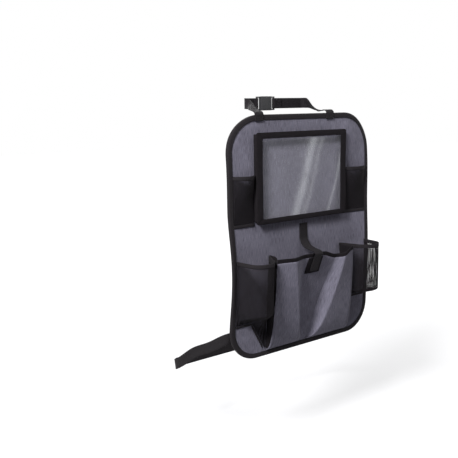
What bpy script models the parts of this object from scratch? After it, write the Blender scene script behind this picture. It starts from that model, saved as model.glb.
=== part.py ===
# Hanging organizer for the back of a car seat, in metres, +Z up.
# X runs to the right as seen by the passenger behind the seat, -Y points at that passenger.
# Lengths below are measured from the middle of the panel's bottom edge; the whole part then
# hangs from an empty that puts the origin where the top strap lies on the headrest posts.
import math

import bmesh
import bpy
from mathutils import Matrix, Vector

# Panel
PANEL_WIDTH = 0.453
PANEL_HEIGHT = 0.560
TOP_CORNER = 0.088
BOTTOM_CORNER = 0.074
PANEL_THICKNESS = 0.0034
LINING_THICKNESS = 0.0010
BINDING_WIDTH = 0.011
BINDING_THICKNESS = 0.0009
SEWN_GAP = 0.0004  # between cloth layers that are sewn together
BINDING_SLACK = 0.0008  # between the layers' cut edge and the fold of the binding
BINDING_FOLD = 0.0008
BINDING_CLEAR = 0.0006
PANEL_MIDDLE = 0.130  # half width of the panel's flat middle
INWARD_STEP = 0.010  # step used to find the panel's slope at its edge

# How far the sides lean off the flat middle of the panel
SIDE_CURL = 0.008
SIDE_CURL_START = 0.150
SIDE_CURL_HEIGHT = 0.205
SIDE_CURL_REACH = 0.150
SIDE_TUCK = 0.004
TOP_LEAN = 0.010
TOP_LEAN_START = 0.140
TOP_LEAN_FROM = 0.400

# Tablet pocket
TABLET_X = -0.012
TABLET_WIDTH = 0.288
TABLET_BOTTOM = 0.315
TABLET_HEIGHT = 0.206
TABLET_DEPTH = 0.0110
TABLET_SIDE_BORDER = 0.0180
TABLET_BOTTOM_BORDER = 0.0110
TABLET_TOP_BORDER = 0.0130
FRAME_THICKNESS = 0.0014
FRAME_CORNER = 0.006
WINDOW_THICKNESS = 0.0006
WINDOW_LAP = 0.004

# Small net pockets beside the tablet
MESH_THICKNESS = 0.0010
NET_POCKET_BOTTOM = 0.319
NET_POCKET_TOP = 0.428
NET_POCKET_BULGE = 0.020
NET_POCKET_MARGIN = 0.0030
HEM_HEIGHT = 0.009
HEM_THICKNESS = 0.0018
TAPE_HEIGHT = 0.007
TAPE_THICKNESS = 0.0010
NET_FOOT_SHARE = 0.75  # how far up its full bulge a small pocket's rim has come

# Bottle pockets
BOTTLE_X = 0.1740
BOTTLE_RADIUS = 0.0355
BOTTLE_POCKET_TOP = 0.238
BOTTLE_POCKET_SEAMS = (0.087, 0.097)  # height of the left and right pocket's level bottom seam
BOTTLE_POCKET_FEET = (0.016, 0.088)  # height of the seam's inner end, beside the centre pocket
BOTTLE_POCKET_CORNER = 0.1660
BOTTLE_FLOOR = 0.106
BOTTLE_POCKET_CLEAR = 0.0018  # from the pocket's upright side to the binding
BOTTLE_ROOT_CLEAR = 0.0028  # from the net's inner seam to the centre pocket's gusset
BOTTLE_FLOOR_RUN = 0.016  # height over which the net reaches its full swell past the floor
BOTTLE_WALL_SHARES = (0.28, 0.55, 0.80)
SEAM_TAPE_HEIGHT = 0.0045
SEAM_TAPE_END = 0.0080  # from the tape's inner end to the net's lowest corner

# Big centre pocket: sideways places of its edges, ridges and valley, at the top and the bottom
CENTRE_TOP = 0.238
CENTRE_BOTTOM = 0.0140
CENTRE_TOP_X = (-0.131, -0.098, -0.010, 0.070, 0.117)
CENTRE_BOTTOM_X = (-0.124, -0.028, -0.004, 0.020, 0.140)
CENTRE_ROOT_TOP_X = (-0.108, 0.124)
CENTRE_EDGE_DEPTH = 0.052
CENTRE_RIDGE_DEPTH = 0.064
CENTRE_VALLEY_DEPTH = 0.047
EDGE_RISE = 0.45  # powers of the height by which the depths grow: the sides stand out low down already
RIDGE_RISE = 0.50
VALLEY_RISE = 1.20
FOOT_CROWD = 1.5  # power that sets the rows closer together near the foot
CENTRE_THICKNESS = 0.0016
GUSSET_THICKNESS = 0.0010
GUSSET_TUCK = 0.006
GUSSET_START = 0.02  # share of the pocket's height where its gussets begin

# Closure strap over the centre pocket
WEBBING_WIDTH = 0.025
WEBBING_THICKNESS = 0.0013
CLOSURE_X = -0.001
CLOSURE_FRONT_X = -0.008
CLOSURE_ROOT = 0.302
CLOSURE_END = 0.193
CLOSURE_LOOP_WIDTH = 0.046
CLOSURE_LOOP_HEIGHT = 0.040
FASTENER_THICKNESS = 0.0010
FASTENER_INSET = 0.0015

# Straps round the headrest posts and round the foot of the seat back
HANG_Y = 0.1015
HANG_RISE = 0.026  # from the panel's top edge up to the strap across the posts
POST_X = 0.0850
POST_WRAP = 0.0115  # from a post's middle to the outside of the bend round it
POST_LEAD = 0.0120
TOP_STRAP_LEFT_X = -0.139
TOP_STRAP_RIGHT_X = 0.086
TOP_STRAP_LAP = 0.013
TOP_BUCKLE_X = -0.044
BOTTOM_STRAP_Z = 0.060
BOTTOM_STRAP_LAP = 0.020
SEAT_DEPTH = 0.232
SEAT_DROP = -0.060
BOTTOM_BUCKLE_X = 0.060

# Side-release buckles, lying along X with the webbing's width along Z
BUCKLE_WIDTH = 0.0340
BUCKLE_THICKNESS = 0.0096
SOCKET_LENGTH = 0.0265
SOCKET_WALL = 0.0017
BUCKLE_FIT = 0.0003
TAIL_LENGTH = 0.0115
TAIL_THICKNESS = 0.0040
TAIL_STEP = 0.0006
TAIL_BAR = 0.0034
PLUG_THICKNESS = 0.0054
PLUG_BASE_LENGTH = 0.0080
WINDOW_START = 0.0050
WINDOW_END = 0.0170
BUCKLE_ROUND = 0.0016
LAP_LENGTH = 0.024
LAP_SPREAD = 0.0010
LAP_PARTS = 0.0085  # where the two layers of webbing part before the bar
LAP_OVER = 0.0030
LAP_PAST = 0.0010
LAP_BEND = 0.0009
LAP_EASE = 0.0002

HALF_WIDTH = PANEL_WIDTH / 2
HANG_Z = PANEL_HEIGHT + HANG_RISE
FRONT = SEWN_GAP / 2 + PANEL_THICKNESS  # lift of the panel's front face
BACK = SEWN_GAP / 2 + LINING_THICKNESS
BINDING_INNER = HALF_WIDTH - BINDING_WIDTH - SEWN_GAP


def ramp(value, start, end):
    """0 before start, 1 at end, rising as a square."""
    share = (value - start) / (end - start)
    return min(max(share, 0.0), 1.0) ** 2


def bell(value, middle, reach):
    """1 at the middle and 0 beyond the reach."""
    share = (value - middle) / reach
    return (1 - share * share) ** 2 if abs(share) < 1 else 0.0


def ease(share):
    """A cosine step from 0 to 1."""
    share = min(max(share, 0.0), 1.0)
    return 0.5 - 0.5 * math.cos(math.pi * share)


def mix(first, second, share):
    return first + (second - first) * share


def on_panel(x, z, lift):
    """A point lift metres in front of the panel's middle layer, which curls at its sides."""
    side = ramp(abs(x), SIDE_CURL_START, HALF_WIDTH)
    pull = side * bell(z, SIDE_CURL_HEIGHT, SIDE_CURL_REACH)
    lean = ramp(abs(x), TOP_LEAN_START, HALF_WIDTH) * ramp(z, TOP_LEAN_FROM, PANEL_HEIGHT)
    tucked = x - math.copysign(SIDE_TUCK * pull, x)
    return Vector((tucked, TOP_LEAN * lean - SIDE_CURL * pull - lift, z))


def material(name, colour, roughness=0.8, metallic=0.0, alpha=1.0):
    """A Principled material; the colour is given as it looks on screen."""
    made = bpy.data.materials.get(name)
    if made:
        return made
    made = bpy.data.materials.new(name)
    made.use_nodes = True
    shader = made.node_tree.nodes["Principled BSDF"]
    linear = [(value / 255) ** 2.2 for value in colour]
    shader.inputs["Base Color"].default_value = (*linear, 1)
    shader.inputs["Roughness"].default_value = roughness
    shader.inputs["Metallic"].default_value = metallic
    shader.inputs["Alpha"].default_value = alpha
    made.diffuse_color = (*linear, alpha)
    return made


def heather():
    return material("heather_cloth", (88, 85, 98), 0.9)


def black_cloth():
    return material("black_cloth", (30, 28, 32), 0.85)


def black_net():
    return material("black_net", (24, 23, 26), 0.8)


def webbing():
    return material("black_webbing", (34, 32, 35), 0.75)


def moulded():
    return material("moulded_black", (22, 22, 24), 0.45)


def clear_film():
    return material("clear_film", (190, 195, 205), 0.08, alpha=0.35)


def place_object(name, mesh, surface):
    """Puts a mesh into the organizer's collection, hung from the mount's empty."""
    item = bpy.data.objects.new(name, mesh)
    parts.objects.link(item)
    item.parent = hanger
    mesh.materials.append(surface)
    mesh.shade_smooth()
    mesh.set_sharp_from_angle(angle=math.radians(40))
    return item


def sheet(name, columns, rows, place, thickness, surface, closed=False):
    """A cloth sheet: a grid laid out by place(across, up), given its thickness both ways."""
    grid = bmesh.new()
    bmesh.ops.create_grid(grid, x_segments=columns, y_segments=rows, size=0.5)
    for vertex in grid.verts:
        vertex.co = place(vertex.co.x + 0.5, vertex.co.y + 0.5)
    if closed:
        bmesh.ops.remove_doubles(grid, verts=grid.verts, dist=0.00001)
    mesh = bpy.data.meshes.new(name)
    grid.to_mesh(mesh)
    grid.free()
    item = place_object(name, mesh, surface)
    solid = item.modifiers.new("thickness", "SOLIDIFY")
    solid.thickness = thickness
    solid.offset = 0
    return item


def corner_inset(z, setback=0.0):
    """How far the panel's side lies inside its full width at a height, on an outline set back all round."""
    for corner, past in ((BOTTOM_CORNER, BOTTOM_CORNER - z), (TOP_CORNER, z - PANEL_HEIGHT + TOP_CORNER)):
        if past > 0:
            return corner - math.sqrt(max((corner - setback) ** 2 - past ** 2, 0))
    return setback


def row_heights(corner_rows, straight_rows, setback):
    """Heights of the panel's rows, close together where its corners turn."""
    low = BOTTOM_CORNER - setback
    top = PANEL_HEIGHT - TOP_CORNER
    turns = [math.pi / 2 * row / corner_rows for row in range(corner_rows + 1)]
    heights = [BOTTOM_CORNER - low * math.cos(turn) for turn in turns[:-1]]
    heights += [mix(BOTTOM_CORNER, top, row / straight_rows) for row in range(straight_rows)]
    heights += [top + (TOP_CORNER - setback) * math.sin(turn) for turn in turns]
    return heights


def panel_layer(name, lift, thickness, surface):
    """One layer of the panel, inside the binding's fold."""
    side_columns = 4
    columns = 2 * side_columns + 2
    heights = row_heights(6, 13, BINDING_SLACK)

    def place(across, up):
        z = heights[round(up * (len(heights) - 1))]
        half = HALF_WIDTH - corner_inset(z, BINDING_SLACK)
        start = min(PANEL_MIDDLE, half * 0.9)
        column = round(across * columns) - columns // 2
        share = max(abs(column) - 1, 0) / side_columns
        x = math.copysign(mix(start, half, share), column) if column else 0.0
        return on_panel(x, z, lift)

    return sheet(name, columns, len(heights) - 1, place, thickness, surface)


def outline_stations(corner_steps, upright_steps, level_steps):
    """Points round the panel's edge, each with its inward direction."""
    corners = []
    centres = (
        (HALF_WIDTH - BOTTOM_CORNER, BOTTOM_CORNER, BOTTOM_CORNER, -90),
        (HALF_WIDTH - TOP_CORNER, PANEL_HEIGHT - TOP_CORNER, TOP_CORNER, 0),
        (TOP_CORNER - HALF_WIDTH, PANEL_HEIGHT - TOP_CORNER, TOP_CORNER, 90),
        (BOTTOM_CORNER - HALF_WIDTH, BOTTOM_CORNER, BOTTOM_CORNER, 180),
    )
    for x, z, radius, start in centres:
        corner = []
        for step in range(corner_steps + 1):
            angle = math.radians(start + 90 * step / corner_steps)
            out = (math.cos(angle), math.sin(angle))
            corner.append((x + radius * out[0], z + radius * out[1], -out[0], -out[1]))
        corners.append(corner)
    stations = []
    for index, corner in enumerate(corners):
        stations += corner
        last, following = corner[-1], corners[(index + 1) % len(corners)][0]
        steps = upright_steps if index % 2 == 0 else level_steps
        for step in range(1, steps):
            share = step / steps
            here = (mix(last[0], following[0], share), mix(last[1], following[1], share))
            stations.append((*here, following[2], following[3]))
    return stations


def edge_binding():
    """The tape folded over the panel's edge, as one closed loop."""
    stations = outline_stations(11, 14, 8)
    front = FRONT + BINDING_CLEAR + BINDING_THICKNESS / 2
    back = -(BACK + BINDING_CLEAR + BINDING_THICKNESS / 2)
    fold = BINDING_FOLD
    edge = -BINDING_THICKNESS / 2
    profile = (
        (BINDING_WIDTH, front),
        (edge + fold, front),
        (edge, front - fold),
        (edge, back + fold),
        (edge + fold, back),
        (BINDING_WIDTH, back),
    )

    def place(along, over):
        x, z, in_x, in_z = stations[round(along * len(stations)) % len(stations)]
        inward, lift = profile[round(over * (len(profile) - 1))]
        base = on_panel(x, z, lift)
        near = on_panel(x + in_x * INWARD_STEP, z + in_z * INWARD_STEP, lift)
        return base + (near - base) * (inward / INWARD_STEP)

    return sheet("edge_binding", len(stations), len(profile) - 1, place, BINDING_THICKNESS,
                 webbing(), closed=True)


def cutter_box(name, size, centre):
    """A hidden block that cuts others."""
    bpy.ops.mesh.primitive_cube_add(size=1)
    block = bpy.context.object
    block.name = name
    block.data.transform(Matrix.Translation(centre) @ Matrix.Diagonal((*size, 1)))
    for owner in list(block.users_collection):
        owner.objects.unlink(block)
    cutters.objects.link(block)
    block.hide_render = True
    block.display_type = "WIRE"
    return block


def boolean(item, other, operation):
    cut = item.modifiers.new(other.name, "BOOLEAN")
    cut.operation = operation
    cut.solver = "EXACT"
    cut.object = other
    other.parent = hanger


def rounded_outline(width, height, radius, steps=4):
    """Corners of a rounded rectangle about the origin."""
    points = []
    for index, (side_x, side_z) in enumerate(((1, -1), (1, 1), (-1, 1), (-1, -1))):
        for step in range(steps + 1):
            angle = math.radians(index * 90 - 90 + 90 * step / steps)
            points.append((side_x * (width / 2 - radius) + radius * math.cos(angle),
                           side_z * (height / 2 - radius) + radius * math.sin(angle)))
    return points


def flat_plate(name, loops, thickness, centre, surface, bevel=0.0):
    """A flat piece in the XZ plane, cut out by closed outlines; inner outlines are holes."""
    curve = bpy.data.curves.new(name, "CURVE")
    curve.dimensions = "2D"
    curve.fill_mode = "BOTH"
    curve.extrude = thickness / 2 - bevel
    curve.bevel_depth = bevel
    curve.bevel_resolution = 1
    for points in loops:
        spline = curve.splines.new("POLY")
        spline.points.add(len(points) - 1)
        for point, (x, z) in zip(spline.points, points):
            point.co = (x, z, 0, 1)
        spline.use_cyclic_u = True
    source = bpy.data.objects.new(name + "_outline", curve)
    parts.objects.link(source)
    depsgraph = bpy.context.evaluated_depsgraph_get()
    mesh = bpy.data.meshes.new_from_object(source.evaluated_get(depsgraph))
    bpy.data.objects.remove(source)
    welded = bmesh.new()
    welded.from_mesh(mesh)
    bmesh.ops.remove_doubles(welded, verts=welded.verts, dist=0.00001)
    bmesh.ops.transform(welded, verts=welded.verts,
                        matrix=Matrix.Translation(centre) @ Matrix.Rotation(math.pi / 2, 4, "X"))
    bmesh.ops.recalc_face_normals(welded, faces=welded.faces)
    welded.to_mesh(mesh)
    welded.free()
    mesh.name = name
    return place_object(name, mesh, surface)


def tablet_pocket():
    """A black frame round a clear window, held off the panel by a gusset on three sides."""
    middle = TABLET_BOTTOM + TABLET_HEIGHT / 2
    front = FRONT + SEWN_GAP + TABLET_DEPTH + SEWN_GAP + FRAME_THICKNESS / 2
    opening_width = TABLET_WIDTH - 2 * TABLET_SIDE_BORDER
    opening_height = TABLET_HEIGHT - TABLET_BOTTOM_BORDER - TABLET_TOP_BORDER
    shift = (TABLET_BOTTOM_BORDER - TABLET_TOP_BORDER) / 2
    outer = rounded_outline(TABLET_WIDTH, TABLET_HEIGHT, FRAME_CORNER)
    inner = [(x, z + shift) for x, z in rounded_outline(opening_width, opening_height, FRAME_CORNER / 2)]
    flat_plate("tablet_frame", (outer, inner), FRAME_THICKNESS, (TABLET_X, -front, middle), black_cloth())

    film_width = opening_width + 2 * WINDOW_LAP
    film_top = TABLET_BOTTOM + TABLET_HEIGHT - TABLET_TOP_BORDER + WINDOW_LAP
    film_bottom = TABLET_BOTTOM + TABLET_BOTTOM_BORDER - WINDOW_LAP
    film_front = front - FRAME_THICKNESS / 2 - SEWN_GAP - WINDOW_THICKNESS / 2
    film = rounded_outline(film_width, film_top - film_bottom, FRAME_CORNER / 2)
    film_middle = (film_top + film_bottom) / 2
    flat_plate("tablet_window", (film,), WINDOW_THICKNESS, (TABLET_X, -film_front, film_middle), clear_film())

    inset = 0.0030
    half = TABLET_WIDTH / 2 - inset
    low = TABLET_BOTTOM + inset
    top = TABLET_BOTTOM + TABLET_HEIGHT - inset
    radius = FRAME_CORNER
    route = [(-half, top), (-half, mix(top, low, 0.5)), (-half, low + radius)]
    for turn in (math.radians(30), math.radians(60), math.radians(90)):
        route.append((-half + radius * (1 - math.cos(turn)), low + radius * (1 - math.sin(turn))))
    route += [(0.0, low)]
    route += [(-x, z) for x, z in reversed(route[:-1])]

    def place(along, out):
        x, z = route[round(along * (len(route) - 1))]
        fold = 1 + 0.004 * math.sin(math.pi * out)
        lift = mix(FRONT + SEWN_GAP, FRONT + SEWN_GAP + TABLET_DEPTH, out)
        return Vector((TABLET_X + x * fold, -lift, z))

    sheet("tablet_gusset", len(route) - 1, 4, place, GUSSET_THICKNESS, black_cloth())


def net_pocket(name, side, inner, outer):
    """A shallow net pocket beside the tablet, with an elastic hem and a tape along its foot."""
    base = FRONT + SEWN_GAP + MESH_THICKNESS / 2
    height = NET_POCKET_TOP - NET_POCKET_BOTTOM
    hem_share = (height - HEM_HEIGHT) / height
    gap_share = SEWN_GAP / height

    def surface(across, up, extra=0.0):
        x = side * mix(inner, outer, across)
        z = mix(NET_POCKET_BOTTOM, NET_POCKET_TOP, up)
        crown = math.sin(math.pi * across) ** 0.8 if 0 < across < 1 else 0.0
        lift = base + extra + NET_POCKET_BULGE * crown * ease(up * NET_FOOT_SHARE) / ease(NET_FOOT_SHARE)
        return on_panel(x, z, lift)

    def flip(across):
        return across if side > 0 else 1 - across

    sheet(name + "_mesh", 10, 7, lambda a, u: surface(flip(a), u * (hem_share - gap_share)),
          MESH_THICKNESS, black_net())
    rise = (HEM_THICKNESS - MESH_THICKNESS) / 2
    sheet(name + "_hem", 10, 1, lambda a, u: surface(flip(a), mix(hem_share, 1, u), rise),
          HEM_THICKNESS, webbing())

    def foot(across, up):
        x = side * mix(inner, outer, flip(across))
        z = NET_POCKET_BOTTOM - SEWN_GAP - TAPE_HEIGHT * (1 - up)
        return on_panel(x, z, FRONT + SEWN_GAP + TAPE_THICKNESS / 2)

    sheet(name + "_tape", 6, 1, foot, TAPE_THICKNESS, webbing())


def bottle_section(outer, inner):
    """The full pocket's path round a bottle, from the panel's edge to the centre pocket."""
    centre = (BOTTLE_X, BOTTLE_RADIUS + MESH_THICKNESS)
    radius = BOTTLE_RADIUS
    across = centre[0] - inner
    distance = math.hypot(across, centre[1])
    tangent = math.sqrt(distance ** 2 - radius ** 2)
    slope = math.atan2(centre[1], across) + math.asin(radius / distance)
    leave = math.pi / 2 + slope
    path = [(outer, 0.0), (mix(outer, centre[0] + radius, 0.5), centre[1] * 0.5)]
    arc_steps = 11
    for step in range(arc_steps + 1):
        angle = leave * step / arc_steps
        path.append((centre[0] + radius * math.cos(angle), centre[1] + radius * math.sin(angle)))
    wall_x = inner + tangent * math.cos(slope)
    wall_lift = tangent * math.sin(slope)
    for share in BOTTLE_WALL_SHARES:
        path.append((mix(wall_x, inner, share), wall_lift * (1 - share)))
    path.append((inner, 0.0))
    return path


def bottle_pocket(name, side, root_top, root_bottom):
    """A net pocket that bulges round a bottle; its bottom seam slants down to the centre pocket."""
    foot, seam = BOTTLE_POCKET_FEET[side > 0], BOTTLE_POCKET_SEAMS[side > 0]
    outer = BINDING_INNER - BOTTLE_POCKET_CLEAR
    inner_top = root_top + BOTTLE_ROOT_CLEAR
    foot_up = (foot - CENTRE_BOTTOM) / (CENTRE_TOP - CENTRE_BOTTOM)
    inner_bottom = mix(root_bottom, root_top, foot_up) + BOTTLE_ROOT_CLEAR
    full = bottle_section(outer, inner_top)
    count = len(full) - 1
    lengths = [0.0]
    for first, second in zip(full, full[1:]):
        lengths.append(lengths[-1] + math.dist(first, second))
    shares = [length / lengths[-1] for length in lengths]
    base = FRONT + SEWN_GAP + MESH_THICKNESS / 2
    rows = 14

    slope = (seam - foot) / (BOTTLE_POCKET_CORNER - inner_bottom)

    def seam_height(x):
        return min(foot + slope * (x - inner_bottom), seam)

    def surface(column, up, extra=0.0):
        share = shares[column]
        flat_bottom = mix(outer, inner_bottom, share)
        flat_top = mix(outer, inner_top, share)
        low = seam_height(flat_bottom)
        z = mix(low, BOTTLE_POCKET_TOP, up)
        swell = ease((z - low) / (BOTTLE_FLOOR - low + BOTTLE_FLOOR_RUN))
        flat = mix(flat_bottom, flat_top, up)
        drift = mix(inner_bottom, inner_top, up) - inner_top
        x = mix(flat, full[column][0] + drift * share ** 2, swell)
        lift = full[column][1] * swell
        if extra and 0 < column < count:
            before, after = full[column - 1], full[column + 1]
            run = math.dist(before, after)
            x += extra * (before[1] - after[1]) / run
            lift += extra * (before[0] - after[0]) / run
        return on_panel(side * x, z, base + lift)

    height = BOTTLE_POCKET_TOP - seam
    hem_start = 1 - HEM_HEIGHT / height
    mesh_end = hem_start - SEWN_GAP / height

    def column_of(across):
        column = round(across * count)
        return column if side < 0 else count - column

    sheet(name + "_mesh", count, rows, lambda a, u: surface(column_of(a), u ** FOOT_CROWD * mesh_end),
          MESH_THICKNESS, black_net())
    rise = (HEM_THICKNESS - MESH_THICKNESS) / 2
    sheet(name + "_hem", count, 1, lambda a, u: surface(column_of(a), mix(hem_start, 1, u), rise),
          HEM_THICKNESS, webbing())

    tape_in = inner_bottom + SEAM_TAPE_END
    stations = [mix(outer, inner_bottom, share) for share in shares]
    stations = [x for x in stations if x > tape_in] + [tape_in]
    tape_lift = FRONT + SEWN_GAP + TAPE_THICKNESS / 2

    def seam_tape(across, up):
        x = stations[round((across if side < 0 else 1 - across) * (len(stations) - 1))]
        steep = math.hypot(1, slope) if x < BOTTLE_POCKET_CORNER else 1.0
        below = SEWN_GAP + MESH_THICKNESS + SEAM_TAPE_HEIGHT * (1 - up)
        return on_panel(side * x, seam_height(x) - below * steep, tape_lift)

    sheet(name + "_tape", len(stations) - 1, 1, seam_tape, TAPE_THICKNESS, webbing())


def centre_keys(up):
    """Sideways place and depth of the centre pocket's edges, ridges and valley at a share of its height."""
    edge = CENTRE_EDGE_DEPTH * up ** EDGE_RISE
    ridge = CENTRE_RIDGE_DEPTH * up ** RIDGE_RISE
    valley = CENTRE_VALLEY_DEPTH * up ** VALLEY_RISE
    places = [mix(low, high, up) for low, high in zip(CENTRE_BOTTOM_X, CENTRE_TOP_X)]
    return places, (edge, ridge, valley, ridge, edge)


def centre_depth(x, up):
    """How far the centre pocket's front stands off the panel at x."""
    places, depths = centre_keys(up)
    for index in range(4):
        if x <= places[index + 1] or index == 3:
            share = (x - places[index]) / (places[index + 1] - places[index])
            return mix(depths[index], depths[index + 1], ease(share))
    return depths[-1]


def centre_pocket():
    """The big pocket's pleated front, its hem and its two gussets."""
    base = FRONT + SEWN_GAP + CENTRE_THICKNESS / 2
    height = CENTRE_TOP - CENTRE_BOTTOM
    hem_start = 1 - HEM_HEIGHT / height
    mesh_end = hem_start - SEWN_GAP / height
    steps = 6

    def surface(across, up, extra=0.0):
        places, depths = centre_keys(up)
        key = across * 4
        index = min(int(key + 0.0001), 3)
        share = key - index
        x = mix(places[index], places[index + 1], share)
        lift = mix(depths[index], depths[index + 1], ease(share))
        return on_panel(x, mix(CENTRE_BOTTOM, CENTRE_TOP, up), base + lift + extra)

    sheet("centre_pocket_front", 4 * steps, 15, lambda a, u: surface(a, u ** FOOT_CROWD * mesh_end),
          CENTRE_THICKNESS, heather())
    rise = (HEM_THICKNESS - CENTRE_THICKNESS) / 2
    sheet("centre_pocket_hem", 4 * steps, 1, lambda a, u: surface(a, mix(hem_start, 1, u), rise),
          HEM_THICKNESS, black_cloth())

    for name, side, key, root_x in (("centre_gusset_left", -1, 0, CENTRE_ROOT_TOP_X[0]),
                                    ("centre_gusset_right", 1, -1, CENTRE_ROOT_TOP_X[1])):
        clear = GUSSET_THICKNESS / 2 + SEWN_GAP

        def place(out, up):
            high = mix(GUSSET_START, 1.0, up ** FOOT_CROWD)
            places, depths = centre_keys(high)
            root = mix(CENTRE_BOTTOM_X[key], root_x, high)
            reach = depths[key] - CENTRE_THICKNESS
            tuck = side * GUSSET_TUCK * math.sin(math.pi * out) * high
            edge = places[key] - side * clear
            x = mix(root, edge, out) - tuck
            start = FRONT + 2 * SEWN_GAP
            return on_panel(x, mix(CENTRE_BOTTOM, CENTRE_TOP, high), mix(start, FRONT + reach, out))

        sheet(name, 6, 12, place, GUSSET_THICKNESS, black_cloth())


def smooth_route(points, step):
    """Points close together on a smooth curve through route points, of any number of values."""
    dense = []
    last = len(points) - 1
    for index in range(last):
        p0 = points[max(index - 1, 0)]
        p1 = points[index]
        p2 = points[index + 1]
        p3 = points[min(index + 2, last)]
        count = max(1, math.ceil(math.dist(p1[:3], p2[:3]) / step))
        for part in range(count):
            t = part / count
            dense.append([0.5 * (2 * b + (c - a) * t + (2 * a - 5 * b + 4 * c - d) * t * t
                                 + (3 * b - a - 3 * c + d) * t * t * t)
                          for a, b, c, d in zip(p0, p1, p2, p3)])
    dense.append(list(points[-1]))
    return dense


def ribbon(name, points, step):
    """Webbing along a route; each route point also gives the direction of the strap's width."""
    dense = smooth_route(points, step)

    def place(across, along):
        station = dense[round(along * (len(dense) - 1))]
        wide = Vector(station[3:]).normalized()
        return Vector(station[:3]) + wide * (across - 0.5) * WEBBING_WIDTH

    return sheet(name, 1, len(dense) - 1, place, WEBBING_THICKNESS, webbing())


def lap_round_bar(bar_x, towards, y, z):
    """Route points of webbing that comes in, goes round a buckle's bar and is sewn back on itself.

    The bar lies at bar_x and the webbing comes from the side that towards gives, -1 or 1.
    """
    half = WEBBING_THICKNESS / 2
    over = TAIL_THICKNESS / 2 + half + SEWN_GAP
    layer = half + LAP_SPREAD / 2
    turn = bar_x - towards * (TAIL_BAR / 2 + half + LAP_BEND)
    side = [
        (bar_x + towards * LAP_LENGTH, layer),
        (bar_x + towards * LAP_LENGTH * 0.6, layer),
        (bar_x + towards * LAP_PARTS, layer + LAP_EASE),
        (bar_x + towards * LAP_OVER, over),
        (bar_x - towards * LAP_PAST, over + LAP_EASE),
        (turn + towards * 3 * LAP_EASE, over * 0.70),
    ]
    route = [(x, y + lift, z, 0, 0, 1) for x, lift in side]
    route.append((turn, y, z, 0, 0, 1))
    route += [(x, y - lift, z, 0, 0, 1) for x, lift in reversed(side)]
    return route


def closure_strap():
    """The strap that comes off the panel, over the pocket's edge and down its front."""
    height = CENTRE_TOP - CENTRE_BOTTOM
    patch_gap = 0.0006

    def front_lift(x, z, layers):
        up = (z - CENTRE_BOTTOM) / height
        return FRONT + SEWN_GAP + CENTRE_THICKNESS + centre_depth(x, up) + layers

    def patch(name, width, top, bottom, under, columns):
        def place(across, up):
            x = CLOSURE_FRONT_X + (across - 0.5) * width
            z = mix(bottom, top, up)
            return on_panel(x, z, front_lift(x, z, under + FASTENER_THICKNESS / 2))
        sheet(name, columns, 5, place, FASTENER_THICKNESS, black_cloth())

    loop_top = CENTRE_TOP - HEM_HEIGHT - FASTENER_INSET
    loop_under = patch_gap
    patch("closure_loop_patch", CLOSURE_LOOP_WIDTH, loop_top, loop_top - CLOSURE_LOOP_HEIGHT, loop_under, 6)
    hook_under = loop_under + FASTENER_THICKNESS + patch_gap
    hook_width = WEBBING_WIDTH - 2 * FASTENER_INSET
    patch("closure_hook_patch", hook_width, loop_top - FASTENER_INSET, CLOSURE_END + FASTENER_INSET,
          hook_under, 4)

    strap_under = hook_under + FASTENER_THICKNESS + patch_gap + WEBBING_THICKNESS / 2
    at_panel = FRONT + SEWN_GAP + WEBBING_THICKNESS / 2
    over_top = CENTRE_TOP + 0.0045
    rim = front_lift(CLOSURE_FRONT_X, CENTRE_TOP, 0)
    points = [
        (CLOSURE_X, CLOSURE_ROOT, at_panel, 0),
        (CLOSURE_X, CLOSURE_ROOT - 0.015, at_panel, 0),
        (mix(CLOSURE_X, CLOSURE_FRONT_X, 0.2), CLOSURE_ROOT - 0.032, at_panel + 0.004, 0),
        (mix(CLOSURE_X, CLOSURE_FRONT_X, 0.5), CENTRE_TOP + 0.016, at_panel + 0.018, 0),
        (mix(CLOSURE_X, CLOSURE_FRONT_X, 0.8), over_top + 0.002, rim - 0.014, 0.5),
        (CLOSURE_FRONT_X, over_top, rim - 0.001, 1),
        (CLOSURE_FRONT_X, CENTRE_TOP - 0.001, rim + strap_under + 0.0010, 1),
    ]
    for share in (0.0, 0.2, 0.4, 0.6, 0.8, 1.0):
        z = mix(CENTRE_TOP - 0.008, CLOSURE_END, share)
        points.append((CLOSURE_FRONT_X, z, front_lift(CLOSURE_FRONT_X, z, strap_under), 1))
    dense = smooth_route(points, 0.006)

    def place(across, along):
        centre_x, z, lift, follow = dense[round(along * (len(dense) - 1))]
        x = centre_x + (across - 0.5) * WEBBING_WIDTH
        up = min((z - CENTRE_BOTTOM) / height, 1.0)
        bend = centre_depth(x, up) - centre_depth(centre_x, up)
        return on_panel(x, z, lift + follow * bend)

    sheet("closure_strap", 4, len(dense) - 1, place, WEBBING_THICKNESS, webbing())


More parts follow.
